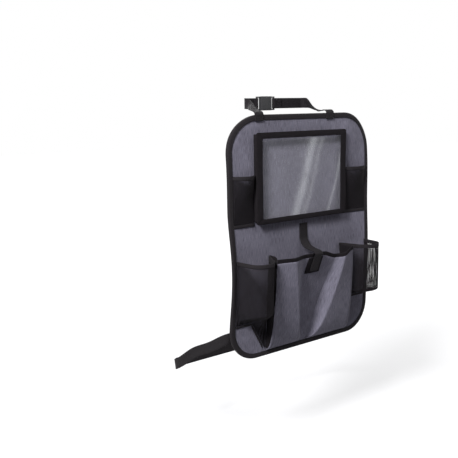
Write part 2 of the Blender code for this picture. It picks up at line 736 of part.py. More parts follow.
def top_straps():
    """Two straps from the panel's top edge, round the headrest posts, to the buckle between them."""
    over_binding = FRONT + BINDING_CLEAR + BINDING_THICKNESS + SEWN_GAP + WEBBING_THICKNESS / 2
    clear_top = PANEL_HEIGHT + BINDING_THICKNESS + SEWN_GAP + WEBBING_THICKNESS
    wrap = POST_X + POST_WRAP
    socket_bar = TOP_BUCKLE_X - TAIL_LENGTH + TAIL_BAR / 2
    plug_bar = TOP_BUCKLE_X + SOCKET_LENGTH + PLUG_BASE_LENGTH + TAIL_LENGTH - TAIL_BAR / 2

    for name, side, root_x, bar, dip in (
            ("top_strap_left", -1, TOP_STRAP_LEFT_X, socket_bar, 0.0),
            ("top_strap_right", 1, TOP_STRAP_RIGHT_X, plug_bar, 0.006)):
        low = PANEL_HEIGHT - TOP_STRAP_LAP
        start = on_panel(root_x, low, over_binding)
        edge = on_panel(root_x, PANEL_HEIGHT, over_binding)
        past = edge.y + 0.006
        reach = side * wrap
        points = [
            (*start, 1, 0, 0),
            (root_x, edge.y, PANEL_HEIGHT - 0.004, 1, 0, 0),
            (root_x, edge.y - 0.0002, PANEL_HEIGHT + 0.0012, 1, 0, 0),
            (mix(root_x, reach, 0.02), edge.y + 0.0026, clear_top + 0.0032, 1, 0, 0),
            (mix(root_x, reach, 0.06), past + 0.004, clear_top + 0.0060, 1, 0, 0),
            (mix(root_x, reach, 0.25), mix(past, HANG_Y, 0.26), mix(clear_top, HANG_Z, 0.42) - dip, 1, 0.1,
             0.1),
            (mix(root_x, reach, 0.60), mix(past, HANG_Y, 0.52), mix(clear_top, HANG_Z, 0.70) - dip, 0.9, 0.25,
             side * -0.5),
            (mix(root_x, reach, 0.92), mix(past, HANG_Y, 0.76), mix(clear_top, HANG_Z, 0.92), 0.45, 0.2,
             side * -0.9),
            (reach, mix(past, HANG_Y, 0.90), HANG_Z, 0, 0, side * -1),
            (reach - side * 0.0045, HANG_Y - 0.0015, HANG_Z, 0, 0, side * -1),
            (reach - side * POST_LEAD, HANG_Y, HANG_Z, 0, 0, side * -1),
        ]
        lap = lap_round_bar(bar, side, HANG_Y, HANG_Z)
        between = mix(reach - side * POST_LEAD, lap[0][0], 0.5)
        points.append((between, HANG_Y + LAP_SPREAD / 2, HANG_Z, 0, 0, side * -1))
        points += [(*point[:5], side * -1) for point in lap]
        ribbon(name, points, 0.0060)


def bottom_straps():
    """Two straps from the panel's lower corners, round the foot of the seat back, to their buckle."""
    behind = BACK + BINDING_CLEAR + BINDING_THICKNESS + SEWN_GAP + WEBBING_THICKNESS / 2
    socket_bar = BOTTOM_BUCKLE_X - TAIL_LENGTH + TAIL_BAR / 2
    plug_bar = BOTTOM_BUCKLE_X + SOCKET_LENGTH + PLUG_BASE_LENGTH + TAIL_LENGTH - TAIL_BAR / 2
    for name, side, bar in (("bottom_strap_left", -1, socket_bar), ("bottom_strap_right", 1, plug_bar)):
        inset = corner_inset(BOTTOM_STRAP_Z)
        edge = HALF_WIDTH - inset
        root = on_panel(side * (edge - BOTTOM_STRAP_LAP), BOTTOM_STRAP_Z, -behind)
        rim = on_panel(side * (edge + 0.002), BOTTOM_STRAP_Z, -behind)
        drop = mix(BOTTOM_STRAP_Z, SEAT_DROP, 0.5)
        points = [
            (*root, 0, 0, 1),
            (*on_panel(side * (edge - 0.006), BOTTOM_STRAP_Z, -behind), 0, 0, 1),
            (rim.x + side * 0.002, rim.y + 0.003, BOTTOM_STRAP_Z - 0.001, 0, 0, 1),
            (side * (edge + 0.008), 0.026, mix(BOTTOM_STRAP_Z, SEAT_DROP, 0.10), 0, 0.35, 1),
            (side * (edge + 0.012), 0.064, mix(BOTTOM_STRAP_Z, SEAT_DROP, 0.28), 0, 0.45, 1),
            (side * (edge + 0.016), 0.120, drop, side * 0.1, 0.45, 1),
            (side * (edge + 0.018), 0.170, mix(BOTTOM_STRAP_Z, SEAT_DROP, 0.78), side * 0.3, 0.4, 1),
            (side * (edge + 0.014), 0.206, mix(BOTTOM_STRAP_Z, SEAT_DROP, 0.95), side * 0.1, 0.2, 1),
            (side * (edge - 0.006), SEAT_DEPTH - 0.003, SEAT_DROP, 0, 0, 1),
            (side * (edge - 0.050), SEAT_DEPTH, SEAT_DROP, 0, 0, 1),
        ]
        lap = lap_round_bar(bar, side, SEAT_DEPTH, SEAT_DROP)
        middle = mix(points[-1][0], lap[0][0], 0.6)
        points.append((middle, SEAT_DEPTH + LAP_SPREAD / 2, SEAT_DROP, 0, 0, 1))
        points += lap
        ribbon(name, points, 0.011)


def moulded_box(name, size, centre, rounding):
    """A block with rounded edges, placed in its mesh."""
    bpy.ops.mesh.primitive_cube_add(size=1)
    block = bpy.context.object
    block.name = name
    block.data.name = name
    block.data.transform(Matrix.Translation(centre) @ Matrix.Diagonal((*size, 1)))
    for owner in list(block.users_collection):
        owner.objects.unlink(block)
    parts.objects.link(block)
    block.parent = hanger
    block.data.materials.append(moulded())
    edge = block.modifiers.new("rounding", "BEVEL")
    edge.width = rounding
    edge.segments = 2
    edge.limit_method = "ANGLE"
    return block


def union_tool(block):
    """Turns a moulded block into a hidden one that is joined to another."""
    parts.objects.unlink(block)
    cutters.objects.link(block)
    block.hide_render = True
    block.display_type = "WIRE"
    return block


def buckle(name, x, y, z):
    """A side-release buckle: the socket's mouth faces +X and holds the plug's three prongs."""
    inside = BUCKLE_WIDTH - 2 * SOCKET_WALL
    cavity = PLUG_THICKNESS + 2 * BUCKLE_FIT
    slot = WEBBING_WIDTH + 0.0015
    tail_size = (TAIL_LENGTH + 0.003, TAIL_THICKNESS, BUCKLE_WIDTH - 2 * TAIL_STEP)
    socket = moulded_box(name + "_socket", (SOCKET_LENGTH, BUCKLE_THICKNESS, BUCKLE_WIDTH),
                         (x + SOCKET_LENGTH / 2, y, z), BUCKLE_ROUND)
    tail = union_tool(moulded_box(name + "_socket_tail", tail_size,
                                  (x + (0.003 - TAIL_LENGTH) / 2, y, z), BUCKLE_ROUND / 2))
    boolean(socket, tail, "UNION")
    slot_length = TAIL_LENGTH - TAIL_BAR - 0.0008
    slot_x = x - TAIL_LENGTH + TAIL_BAR + slot_length / 2
    slot_size = (slot_length, 2 * BUCKLE_THICKNESS, slot)
    boolean(socket, cutter_box(name + "_socket_slot", slot_size, (slot_x, y, z)), "DIFFERENCE")
    depth = SOCKET_LENGTH - 0.0025
    boolean(socket, cutter_box(name + "_mouth", (depth, cavity, inside),
                               (x + SOCKET_LENGTH - depth / 2 + 0.0005, y, z)), "DIFFERENCE")
    window = WINDOW_END - WINDOW_START
    boolean(socket, cutter_box(name + "_side_windows", (window, cavity - 0.0002, BUCKLE_WIDTH + 0.01),
                               (x + (WINDOW_START + WINDOW_END) / 2, y, z)), "DIFFERENCE")

    mouth = SOCKET_LENGTH + BUCKLE_FIT
    arm_out = inside / 2 - BUCKLE_FIT
    pad_out = BUCKLE_WIDTH / 2 - 0.0002
    tip = 0.0040
    half = [
        (tip, 0.0000), (tip + 0.0006, 0.0018), (mouth - 0.0030, 0.0026), (mouth - 0.0015, 0.0048),
        (mouth - 0.0040, 0.0068), (tip + 0.0060, 0.0086), (tip + 0.0012, 0.0082), (tip, 0.0096),
        (WINDOW_START + BUCKLE_FIT, arm_out - 0.0010), (WINDOW_START + 0.0020, pad_out - 0.0004),
        (WINDOW_END - 0.0030, pad_out), (WINDOW_END - BUCKLE_FIT, pad_out - 0.0006),
        (WINDOW_END - BUCKLE_FIT, arm_out - 0.0004), (mouth, arm_out - 0.0004),
        (mouth + 0.0020, arm_out - 0.0004),
    ]
    outline = half + [(a, -b) for a, b in reversed(half[1:])]
    prongs = flat_plate(name + "_plug_prongs", (outline,), PLUG_THICKNESS, (x, y, z), moulded())
    union_tool(prongs)
    base = PLUG_BASE_LENGTH
    plug = moulded_box(name + "_plug", (base, BUCKLE_THICKNESS, BUCKLE_WIDTH),
                       (x + mouth + base / 2, y, z), BUCKLE_ROUND)
    boolean(plug, prongs, "UNION")
    tail = union_tool(moulded_box(name + "_plug_tail", tail_size,
                                  (x + mouth + base + (TAIL_LENGTH - 0.003) / 2, y, z), BUCKLE_ROUND / 2))
    boolean(plug, tail, "UNION")
    slot_x = x + mouth + base + TAIL_LENGTH - TAIL_BAR - slot_length / 2
    boolean(plug, cutter_box(name + "_plug_slot", slot_size, (slot_x, y, z)), "DIFFERENCE")


for old in list(bpy.data.objects):
    bpy.data.objects.remove(old)

parts = bpy.data.collections.new("car_organizer")
cutters = bpy.data.collections.new("cutters")
bpy.context.scene.collection.children.link(parts)
bpy.context.scene.collection.children.link(cutters)
hanger = bpy.data.objects.new("headrest_mount", None)
hanger.location = (0, -HANG_Y, -HANG_Z)
parts.objects.link(hanger)

panel_layer("front_panel", SEWN_GAP / 2 + PANEL_THICKNESS / 2, PANEL_THICKNESS, heather())
panel_layer("back_lining", -(SEWN_GAP / 2 + LINING_THICKNESS / 2), LINING_THICKNESS, black_cloth())
edge_binding()
tablet_pocket()
frame_side = TABLET_WIDTH / 2 + NET_POCKET_MARGIN
net_pocket("upper_left", -1, frame_side - TABLET_X, BINDING_INNER - SEWN_GAP)
net_pocket("upper_right", 1, frame_side + TABLET_X, BINDING_INNER - SEWN_GAP)
bottle_pocket("lower_left", -1, -CENTRE_ROOT_TOP_X[0], -CENTRE_BOTTOM_X[0])
bottle_pocket("lower_right", 1, CENTRE_ROOT_TOP_X[1], CENTRE_BOTTOM_X[4])
centre_pocket()
closure_strap()
top_straps()
bottom_straps()
buckle("top_buckle", TOP_BUCKLE_X, HANG_Y, HANG_Z)
buckle("bottom_buckle", BOTTOM_BUCKLE_X, SEAT_DEPTH, SEAT_DROP)
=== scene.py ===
# Looks of the hanging organizer: cloth, nets, film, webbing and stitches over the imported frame.
# Lengths are in metres. Panel coordinates run from the middle of the panel's bottom edge, x to the
# right, z up and lift out of the panel's face; onPanel() turns them into the frame's coordinates.
import math

import bmesh
import bpy
from mathutils import Matrix, Vector, noise


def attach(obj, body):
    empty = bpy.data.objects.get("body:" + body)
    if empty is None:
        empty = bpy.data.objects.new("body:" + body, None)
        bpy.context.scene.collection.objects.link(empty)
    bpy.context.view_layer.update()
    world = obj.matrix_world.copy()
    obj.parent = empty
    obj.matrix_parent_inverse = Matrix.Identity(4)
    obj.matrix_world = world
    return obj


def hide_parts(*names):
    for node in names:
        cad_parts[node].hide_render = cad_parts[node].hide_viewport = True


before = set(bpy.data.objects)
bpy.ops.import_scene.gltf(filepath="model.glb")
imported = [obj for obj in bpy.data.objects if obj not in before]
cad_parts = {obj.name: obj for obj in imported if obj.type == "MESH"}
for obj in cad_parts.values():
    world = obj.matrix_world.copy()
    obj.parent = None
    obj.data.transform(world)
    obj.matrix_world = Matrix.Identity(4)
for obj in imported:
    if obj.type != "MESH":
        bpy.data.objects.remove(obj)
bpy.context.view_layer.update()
print("frame loaded,", len(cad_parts), "nodes")

# Size and hang of the panel
panel = dict(
    width=0.453, height=0.560, topCorner=0.088, bottomCorner=0.074,
    thickness=0.0034, lining=0.0010, seam=0.0004, slack=0.0008, bindingWidth=0.011,
    curl=0.008, curlStart=0.150, curlHeight=0.205, curlReach=0.150, tuck=0.004,
    lean=0.013, leanStart=0.140, leanFrom=0.400, hangY=0.1015, hangZ=0.586,
    columns=132)
halfWidth = panel["width"] / 2
front = panel["seam"] / 2 + panel["thickness"]
back = panel["seam"] / 2 + panel["lining"]


def ramp(value, start, end):
    share = (value - start) / (end - start)
    return min(max(share, 0.0), 1.0) ** 2


def bell(value, middle, reach):
    share = (value - middle) / reach
    return (1 - share * share) ** 2 if abs(share) < 1 else 0.0


def ease(share):
    share = min(max(share, 0.0), 1.0)
    return 0.5 - 0.5 * math.cos(math.pi * share)


def mix(first, second, share):
    return first + (second - first) * share


def onPanel(x, z, lift):
    # A point lift metres in front of the panel's middle layer, which curls at its sides
    side = ramp(abs(x), panel["curlStart"], halfWidth)
    pull = side * bell(z, panel["curlHeight"], panel["curlReach"])
    lean = ramp(abs(x), panel["leanStart"], halfWidth) * ramp(z, panel["leanFrom"], panel["height"])
    tucked = x - math.copysign(panel["tuck"] * pull, x)
    depth = panel["lean"] * lean - panel["curl"] * pull - lift
    return Vector((tucked, depth - panel["hangY"], z - panel["hangZ"]))


def cornerInset(z, setback=0.0):
    # How far the panel's side lies inside its full width at a height
    bottom, top = panel["bottomCorner"], panel["topCorner"]
    for corner, past in ((bottom, bottom - z), (top, z - panel["height"] + top)):
        if past > 0:
            return corner - math.sqrt(max((corner - setback) ** 2 - past ** 2, 0))
    return setback


def edgeDistance(x, z):
    # How far a point lies inside the panel's outline
    flatX = halfWidth - abs(x)
    flatZ = min(z, panel["height"] - z)
    corner = panel["bottomCorner"] if z < panel["height"] / 2 else panel["topCorner"]
    if flatX < corner and flatZ < corner:
        return corner - math.hypot(corner - flatX, corner - flatZ)
    return min(flatX, flatZ)


# Node groups: each puts out masks and heights that the materials use with their own values

def newGroup(name, inputs, outputs):
    group = bpy.data.node_groups.new(name, "ShaderNodeTree")
    for label, kind, value in inputs:
        socket = group.interface.new_socket(label, in_out="INPUT", socket_type=kind)
        if value is not None:
            socket.default_value = value
    for label, kind in outputs:
        group.interface.new_socket(label, in_out="OUTPUT", socket_type=kind)
    return group, group.nodes.new("NodeGroupInput"), group.nodes.new("NodeGroupOutput")


def mathNode(tree, operation, first, second=None, third=None, clamp=False):
    node = tree.nodes.new("ShaderNodeMath")
    node.operation = operation
    node.use_clamp = clamp
    for socket, value in zip(node.inputs, (first, second, third)):
        if value is None:
            continue
        if isinstance(value, (int, float)):
            socket.default_value = value
        else:
            tree.links.new(value, socket)
    return node.outputs[0]


def noiseNode(tree, vector, scale, detail, roughness=0.5):
    node = tree.nodes.new("ShaderNodeTexNoise")
    node.inputs["Detail"].default_value = detail
    node.inputs["Roughness"].default_value = roughness
    tree.links.new(vector, node.inputs["Vector"])
    if isinstance(scale, float):
        node.inputs["Scale"].default_value = scale
    else:
        tree.links.new(scale, node.inputs["Scale"])
    return node.outputs["Fac"]


def splitNode(tree, vector):
    node = tree.nodes.new("ShaderNodeSeparateXYZ")
    tree.links.new(vector, node.inputs[0])
    return node.outputs


def roundRidges(tree, value):
    # One round ridge for each whole step of the value
    return mathNode(tree, "ABSOLUTE", mathNode(tree, "SINE", mathNode(tree, "MULTIPLY", value, math.pi)))


def makeWeaveGroup():
    # Plain weave from a map in metres: warp and weft threads pass over each other in turn
    group, given, result = newGroup("threadWeave", (
        ("Map", "NodeSocketVector", None),
        ("Threads Across", "NodeSocketFloat", 1200.0),
        ("Threads Along", "NodeSocketFloat", 1200.0)), (
        ("Height", "NodeSocketFloat"), ("Warp", "NodeSocketFloat")))
    split = splitNode(group, given.outputs["Map"])
    across = mathNode(group, "MULTIPLY", split["X"], given.outputs["Threads Across"])
    along = mathNode(group, "MULTIPLY", split["Y"], given.outputs["Threads Along"])
    cell = mathNode(group, "ADD", mathNode(group, "FLOOR", across), mathNode(group, "FLOOR", along))
    onTop = mathNode(group, "PINGPONG", cell, 1.0)
    threads = []
    for place, over in ((across, onTop), (along, mathNode(group, "SUBTRACT", 1.0, onTop))):
        raised = mathNode(group, "MULTIPLY_ADD", over, 0.45, 0.55)
        threads.append(mathNode(group, "MULTIPLY", roundRidges(group, place), raised))
    group.links.new(mathNode(group, "MAXIMUM", *threads), result.inputs["Height"])
    group.links.new(onTop, result.inputs["Warp"])
    return group


def makeStreakGroup():
    # Melange: yarns of uneven shade, long along the cloth's length, over a slow cloudy change
    group, given, result = newGroup("melangeStreaks", (
        ("Map", "NodeSocketVector", None),
        ("Fineness", "NodeSocketFloat", 420.0),
        ("Stretch", "NodeSocketFloat", 0.07)), (
        ("Streak", "NodeSocketFloat"), ("Cloud", "NodeSocketFloat")))
    scale = group.nodes.new("ShaderNodeCombineXYZ")
    group.links.new(given.outputs["Fineness"], scale.inputs["X"])
    group.links.new(mathNode(group, "MULTIPLY", given.outputs["Fineness"], given.outputs["Stretch"]),
                    scale.inputs["Y"])
    stretched = group.nodes.new("ShaderNodeVectorMath")
    stretched.operation = "MULTIPLY"
    group.links.new(given.outputs["Map"], stretched.inputs[0])
    group.links.new(scale.outputs[0], stretched.inputs[1])
    streak = noiseNode(group, stretched.outputs[0], 1.0, 3.0, 0.62)
    group.links.new(streak, result.inputs["Streak"])
    group.links.new(noiseNode(group, given.outputs["Map"], 14.0, 2.0), result.inputs["Cloud"])
    return group


def makeRibGroup():
    # Webbing and tape: ribs across the length, broken by the yarns that run along it
    group, given, result = newGroup("tapeRibs", (
        ("Map", "NodeSocketVector", None),
        ("Ribs", "NodeSocketFloat", 620.0),
        ("Ends", "NodeSocketFloat", 900.0),
        ("Slant", "NodeSocketFloat", 0.0)), (
        ("Height", "NodeSocketFloat"), ("Yarn", "NodeSocketFloat")))
    split = splitNode(group, given.outputs["Map"])
    ends = mathNode(group, "MULTIPLY", split["X"], given.outputs["Ends"])
    zigzag = mathNode(group, "MULTIPLY", mathNode(group, "PINGPONG", ends, 4.0), given.outputs["Slant"])
    ribs = mathNode(group, "MULTIPLY_ADD", split["Y"], given.outputs["Ribs"], zigzag)
    ridges = mathNode(group, "MULTIPLY", roundRidges(group, ribs), 0.7)
    height = mathNode(group, "MULTIPLY_ADD", roundRidges(group, ends), 0.3, ridges)
    group.links.new(height, result.inputs["Height"])
    group.links.new(noiseNode(group, given.outputs["Map"], 260.0, 3.0), result.inputs["Yarn"])
    return group


def makeFuzzGroup():
    # Loose fibre ends and lint: sparse pale flecks in object space
    group, given, result = newGroup("lintFlecks", (
        ("Place", "NodeSocketVector", None),
        ("Density", "NodeSocketFloat", 900.0),
        ("Amount", "NodeSocketFloat", 0.3)), (
        ("Fleck", "NodeSocketFloat"),))
    dust = noiseNode(group, given.outputs["Place"], given.outputs["Density"], 4.0, 0.75)
    above = mathNode(group, "MULTIPLY", mathNode(group, "SUBTRACT", dust, 0.60), 8.0, clamp=True)
    group.links.new(mathNode(group, "MULTIPLY", above, given.outputs["Amount"]), result.inputs["Fleck"])
    return group


weaveGroup = makeWeaveGroup()
streakGroup = makeStreakGroup()
ribGroup = makeRibGroup()
fuzzGroup = makeFuzzGroup()
print("node groups made")


def screenColour(red, green, blue):
    # Linear colour of one that is given as it looks on screen
    return tuple(((v / 255 + 0.055) / 1.055) ** 2.4 if v > 10 else v / 255 / 12.92
                 for v in (red, green, blue)) + (1.0,)


def startMaterial(name, roughness, sheen=0.0, specular=0.5):
    material = bpy.data.materials.new(name)
    material.use_nodes = True
    tree = material.node_tree
    shader = tree.nodes["Principled BSDF"]
    shader.inputs["Roughness"].default_value = roughness
    shader.inputs["Sheen Weight"].default_value = sheen
    shader.inputs["Sheen Roughness"].default_value = 0.5
    shader.inputs["Specular IOR Level"].default_value = specular
    return material, tree, shader


def placeGroup(tree, group, **values):
    node = tree.nodes.new("ShaderNodeGroup")
    node.node_tree = group
    for label, value in values.items():
        node.inputs[label.replace("_", " ")].default_value = value
    return node


def clothMap(tree):
    node = tree.nodes.new("ShaderNodeUVMap")
    node.uv_map = "cloth"
    return node.outputs[0]


def objectMap(tree):
    return tree.nodes.new("ShaderNodeTexCoord").outputs["Object"]


def shadeBetween(tree, mask, dark, light):
    blend = tree.nodes.new("ShaderNodeMix")
    blend.data_type = "RGBA"
    for label, value in (("A", dark), ("B", light)):
        socket = next(s for s in blend.inputs if s.name == label and s.type == "RGBA")
        if isinstance(value, tuple):
            socket.default_value = value
        else:
            tree.links.new(value, socket)
    tree.links.new(mask, next(s for s in blend.inputs if s.name == "Factor" and s.type == "VALUE"))
    return next(s for s in blend.outputs if s.type == "RGBA")


def twoShades(tree, mask, look):
    return shadeBetween(tree, mask, screenColour(*look["dark"]), screenColour(*look["light"]))


def bump(tree, shader, height, distance):
    node = tree.nodes.new("ShaderNodeBump")
    node.inputs["Distance"].default_value = distance
    tree.links.new(height, node.inputs["Height"])
    tree.links.new(node.outputs["Normal"], shader.inputs["Normal"])


def clothGroup(tree, group, **values):
    # A group that reads the cloth's own map
    node = placeGroup(tree, group, **values)
    tree.links.new(clothMap(tree), node.inputs["Map"])
    return node.outputs


def dress(tree, shader, mask, height, look, pale, density, amount):
    # Two shades by the mask, pale lint over them, and relief by the height
    lint = placeGroup(tree, fuzzGroup, Density=density, Amount=amount)
    tree.links.new(objectMap(tree), lint.inputs["Place"])
    colour = twoShades(tree, mask, look)
    colour = shadeBetween(tree, lint.outputs["Fleck"], colour, screenColour(*pale))
    tree.links.new(colour, shader.inputs["Base Color"])
    bump(tree, shader, height, look["depth"])


# Heather grey melange, the organizer's main cloth. Here and below the shades are given as they look on screen
heatherLook = dict(
    dark=(62, 59, 69), light=(112, 110, 124), lint=(140, 139, 150), threads=1150.0, depth=0.00018,
    fineness=1100.0, stretch=0.05, roughness=0.88, sheen=0.05, specular=0.2)


def makeHeather():
    material, tree, shader = startMaterial("heatherCloth", heatherLook["roughness"], heatherLook["sheen"],
                                           heatherLook["specular"])
    threads = heatherLook["threads"]
    streaks = clothGroup(tree, streakGroup, Fineness=heatherLook["fineness"], Stretch=heatherLook["stretch"])
    weave = clothGroup(tree, weaveGroup, Threads_Across=threads, Threads_Along=threads)
    sharp = mathNode(tree, "MULTIPLY_ADD", streaks["Streak"], 2.4, -0.7, clamp=True)
    yarn = mathNode(tree, "MULTIPLY_ADD", weave["Warp"], 0.16, -0.08)
    cloud = mathNode(tree, "MULTIPLY_ADD", streaks["Cloud"], 0.5, -0.25)
    mask = mathNode(tree, "ADD", mathNode(tree, "ADD", sharp, yarn), cloud, clamp=True)
    dress(tree, shader, mask, weave["Height"], heatherLook, heatherLook["lint"], 1500.0, 0.25)
    return material


# What all the black finishes share
blackLook = dict(lint=(58, 55, 59), sheen=0.01, specular=0.05, tapeSpecular=0.1)

# Plain woven cloths: the frame, the gussets and the pocket hem, and the lining
plainLooks = dict(
    blackCloth=dict(dark=(13, 11, 13), light=(28, 25, 28), threads=1300.0, depth=0.00012, roughness=0.86,
                    lint=0.12),
    liningCloth=dict(dark=(20, 18, 20), light=(34, 32, 35), threads=1700.0, depth=0.00008, roughness=0.80,
                     lint=0.10))


def makePlainCloth(name):
    look = plainLooks[name]
    material, tree, shader = startMaterial(name, look["roughness"], blackLook["sheen"], blackLook["specular"])
    weave = clothGroup(tree, weaveGroup, Threads_Across=look["threads"], Threads_Along=look["threads"])
    streaks = clothGroup(tree, streakGroup, Fineness=300.0, Stretch=0.4)
    uneven = mathNode(tree, "MULTIPLY_ADD", streaks["Streak"], 1.2, -0.35)
    # Painted shade: the weave's height lightens the threads' crests and darkens the gaps between them, over
    # the yarn's own uneven tone
    mask = mathNode(tree, "ADD", mathNode(tree, "MULTIPLY", weave["Height"], 0.45), uneven, clamp=True)
    dress(tree, shader, mask, weave["Height"], look, blackLook["lint"], 1100.0, look["lint"])
    return material


# Ribbed binding tape, and webbing with a zigzag in its ribs
tapeLooks = dict(
    bindingTape=dict(dark=(16, 14, 16), light=(36, 33, 36), ribs=900.0, ends=1400.0, slant=0.0,
                     depth=0.00015, roughness=0.80),
    webbingTape=dict(dark=(11, 10, 11), light=(30, 27, 30), ribs=560.0, ends=640.0, slant=0.5,
                     depth=0.00035, roughness=0.72))


def makeTape(name):
    look = tapeLooks[name]
    material, tree, shader = startMaterial(name, look["roughness"], blackLook["sheen"],
                                           blackLook["tapeSpecular"])
    pattern = clothGroup(tree, ribGroup, Ribs=look["ribs"], Ends=look["ends"], Slant=look["slant"])
    uneven = mathNode(tree, "MULTIPLY_ADD", pattern["Yarn"], 1.0, -0.35)
    # Painted shade: the ribs' height lightens their crests and darkens the grooves between them, over the
    # yarns' own uneven tone
    mask = mathNode(tree, "ADD", mathNode(tree, "MULTIPLY", pattern["Height"], 0.6), uneven, clamp=True)
    dress(tree, shader, mask, pattern["Height"], look, blackLook["lint"], 900.0, 0.2)
    return material


# Yarn of the nets and the sewing thread: round strands with a twist
yarnLooks = dict(
    netYarn=dict(dark=(12, 10, 12), light=(28, 25, 28), depth=0.00006, roughness=0.75),
    sewingThread=dict(dark=(18, 16, 19), light=(44, 41, 45), depth=0.00006, roughness=0.60))


def makeYarn(name):
    look = yarnLooks[name]
    material, tree, shader = startMaterial(name, look["roughness"], blackLook["sheen"], blackLook["specular"])
    twist = tree.nodes.new("ShaderNodeTexWave")
    twist.bands_direction = "DIAGONAL"
    twist.inputs["Scale"].default_value = 900.0
    twist.inputs["Distortion"].default_value = 2.0
    tree.links.new(objectMap(tree), twist.inputs["Vector"])
    # The twist's bands give the colour as well as the relief: painted shade, darker in the twist's grooves
    # and lighter on its crests
    dress(tree, shader, twist.outputs["Fac"], twist.outputs["Fac"], look, blackLook["lint"], 700.0, 0.15)
    return material


# Hook side and loop side of the touch fastener
pileLooks = dict(
    hookPile=dict(dark=(12, 11, 13), light=(36, 34, 37), scale=1400.0, depth=0.0005, roughness=0.95),
    loopPile=dict(dark=(10, 9, 11), light=(30, 28, 31), scale=900.0, depth=0.0006, roughness=0.95))


def makePile(name):
    look = pileLooks[name]
    material, tree, shader = startMaterial(name, look["roughness"], blackLook["sheen"], blackLook["specular"])
    pile = tree.nodes.new("ShaderNodeTexVoronoi")
    pile.inputs["Scale"].default_value = look["scale"]
    tree.links.new(clothMap(tree), pile.inputs["Vector"])
    # Painted shade: each tuft is lighter at its middle and darker in the gaps between tufts, the same mask as
    # its relief
    tuft = mathNode(tree, "SUBTRACT", 1.0, pile.outputs["Distance"], clamp=True)
    tree.links.new(twoShades(tree, tuft, look), shader.inputs["Base Color"])
    bump(tree, shader, tuft, look["depth"])
    return material


# Clear film of the big upper pocket, whose sizes the film's painted gleams, painted reflections, need too
tablet = dict(
    x=-0.012, width=0.288, bottom=0.315, height=0.206, depth=0.011, side=0.018, low=0.011, top=0.013,
    frame=0.0014, corner=0.006, film=0.0006, lap=0.004, gusset=0.0010, inset=0.003, stitchIn=0.0024,
    frameWave=0.0004, sag=0.0010, sagSize=0.06, tuck=0.0011, crumple=0.0006, filmWave=0.0016,
    filmWaveSize=0.07, filmRipple=0.0005, cornerSteps=6, uprightSteps=40, levelSteps=56)
filmLook = dict(
    tint=(238, 241, 245), roughness=0.06, bend=1.5, alpha=0.022, cloud=0.018, cloudScale=12.0, lean=0.34,
    wander=0.016, bands=((-0.004, 0.0120, 0.10), (0.024, 0.0060, 0.04), (0.104, 0.0045, 0.06)))


def makeFilm():
    material, tree, shader = startMaterial("clearFilm", filmLook["roughness"])
    shader.inputs["IOR"].default_value = filmLook["bend"]
    shader.inputs["Base Color"].default_value = screenColour(*filmLook["tint"])
    # A faint haze, and a few soft slanting gleams painted into the film's alpha: painted reflections on the
    # near-white film, the same from every side
    haze = noiseNode(tree, objectMap(tree), filmLook["cloudScale"], 2.0)
    alpha = mathNode(tree, "MULTIPLY_ADD", haze, filmLook["cloud"], filmLook["alpha"] - filmLook["cloud"] / 2)
    place = splitNode(tree, objectMap(tree))
    lean = filmLook["lean"]
    middleZ = tablet["bottom"] + tablet["height"] / 2 - panel["hangZ"]
    slant = mathNode(tree, "MULTIPLY_ADD", place["Z"], -lean, middleZ * lean)
    wander = mathNode(tree, "MULTIPLY_ADD", haze, filmLook["wander"], -filmLook["wander"] / 2)
    across = mathNode(tree, "ADD", mathNode(tree, "ADD", place["X"], slant), wander)
    # Each band is a painted reflection: a soft slanting streak where the near-white film is less clear
    for middle, width, strength in filmLook["bands"]:
        off = mathNode(tree, "MULTIPLY_ADD", across, 1 / width, -middle / width)
        below = mathNode(tree, "ADD", mathNode(tree, "POWER", mathNode(tree, "ABSOLUTE", off), 3.0), 1.0)
        alpha = mathNode(tree, "ADD", alpha, mathNode(tree, "DIVIDE", strength, below))
    tree.links.new(alpha, shader.inputs["Alpha"])
    return material


# Satin moulded plastic of the buckles
mouldedLook = dict(dark=(22, 22, 24), light=(34, 34, 37), grain=1600.0, depth=0.00004, roughness=0.42)


def makeMoulded():
    material, tree, shader = startMaterial("mouldedBlack", mouldedLook["roughness"])
    grain = noiseNode(tree, objectMap(tree), mouldedLook["grain"], 3.0)
    tree.links.new(twoShades(tree, grain, mouldedLook), shader.inputs["Base Color"])
    tree.links.new(mathNode(tree, "MULTIPLY_ADD", grain, 0.25, 0.30), shader.inputs["Roughness"])
    bump(tree, shader, grain, mouldedLook["depth"])
    return material


heatherCloth = makeHeather()
blackCloth, liningCloth = (makePlainCloth(name) for name in plainLooks)
bindingTape, webbingTape = (makeTape(name) for name in tapeLooks)
netYarn, sewingThread = (makeYarn(name) for name in yarnLooks)
hookPile, loopPile = (makePile(name) for name in pileLooks)
clearFilm = makeFilm()
mouldedBlack = makeMoulded()
print("materials made")


# Making pieces

def finishPiece(name, shape, material, slot, nodes=()):
    # Makes a piece of a bmesh, puts it on the root body and hides the frame's nodes that it stands for
    mesh = bpy.data.meshes.new(name)
    shape.to_mesh(mesh)
    shape.free()
    mesh.shade_smooth()
    mesh.materials.append(material)
    piece = bpy.data.objects.new(name, mesh)
    bpy.context.scene.collection.objects.link(piece)
    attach(piece, "root")
    if nodes:
        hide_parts(*nodes)
    return piece


def thicken(piece, thickness, even):
    solid = piece.modifiers.new("thickness", "SOLIDIFY")
    solid.thickness = thickness
    solid.offset = 0
    solid.use_even_offset = even


def mapByPlace(piece, columns=0):
    # Gives a cloth its weave by height and by x, or by the distance along each row of a folded cloth
    cloth = piece.data.uv_layers["cloth"]
    places = [vertex.co for vertex in piece.data.vertices]
    across = [point.x for point in places]
    if columns:
        for index in range(len(places)):
            if index % (columns + 1):
                across[index] = across[index - 1] + (places[index] - places[index - 1]).length
    for loop in piece.data.loops:
        cloth.data[loop.index].uv = (across[loop.vertex_index], places[loop.vertex_index].z)


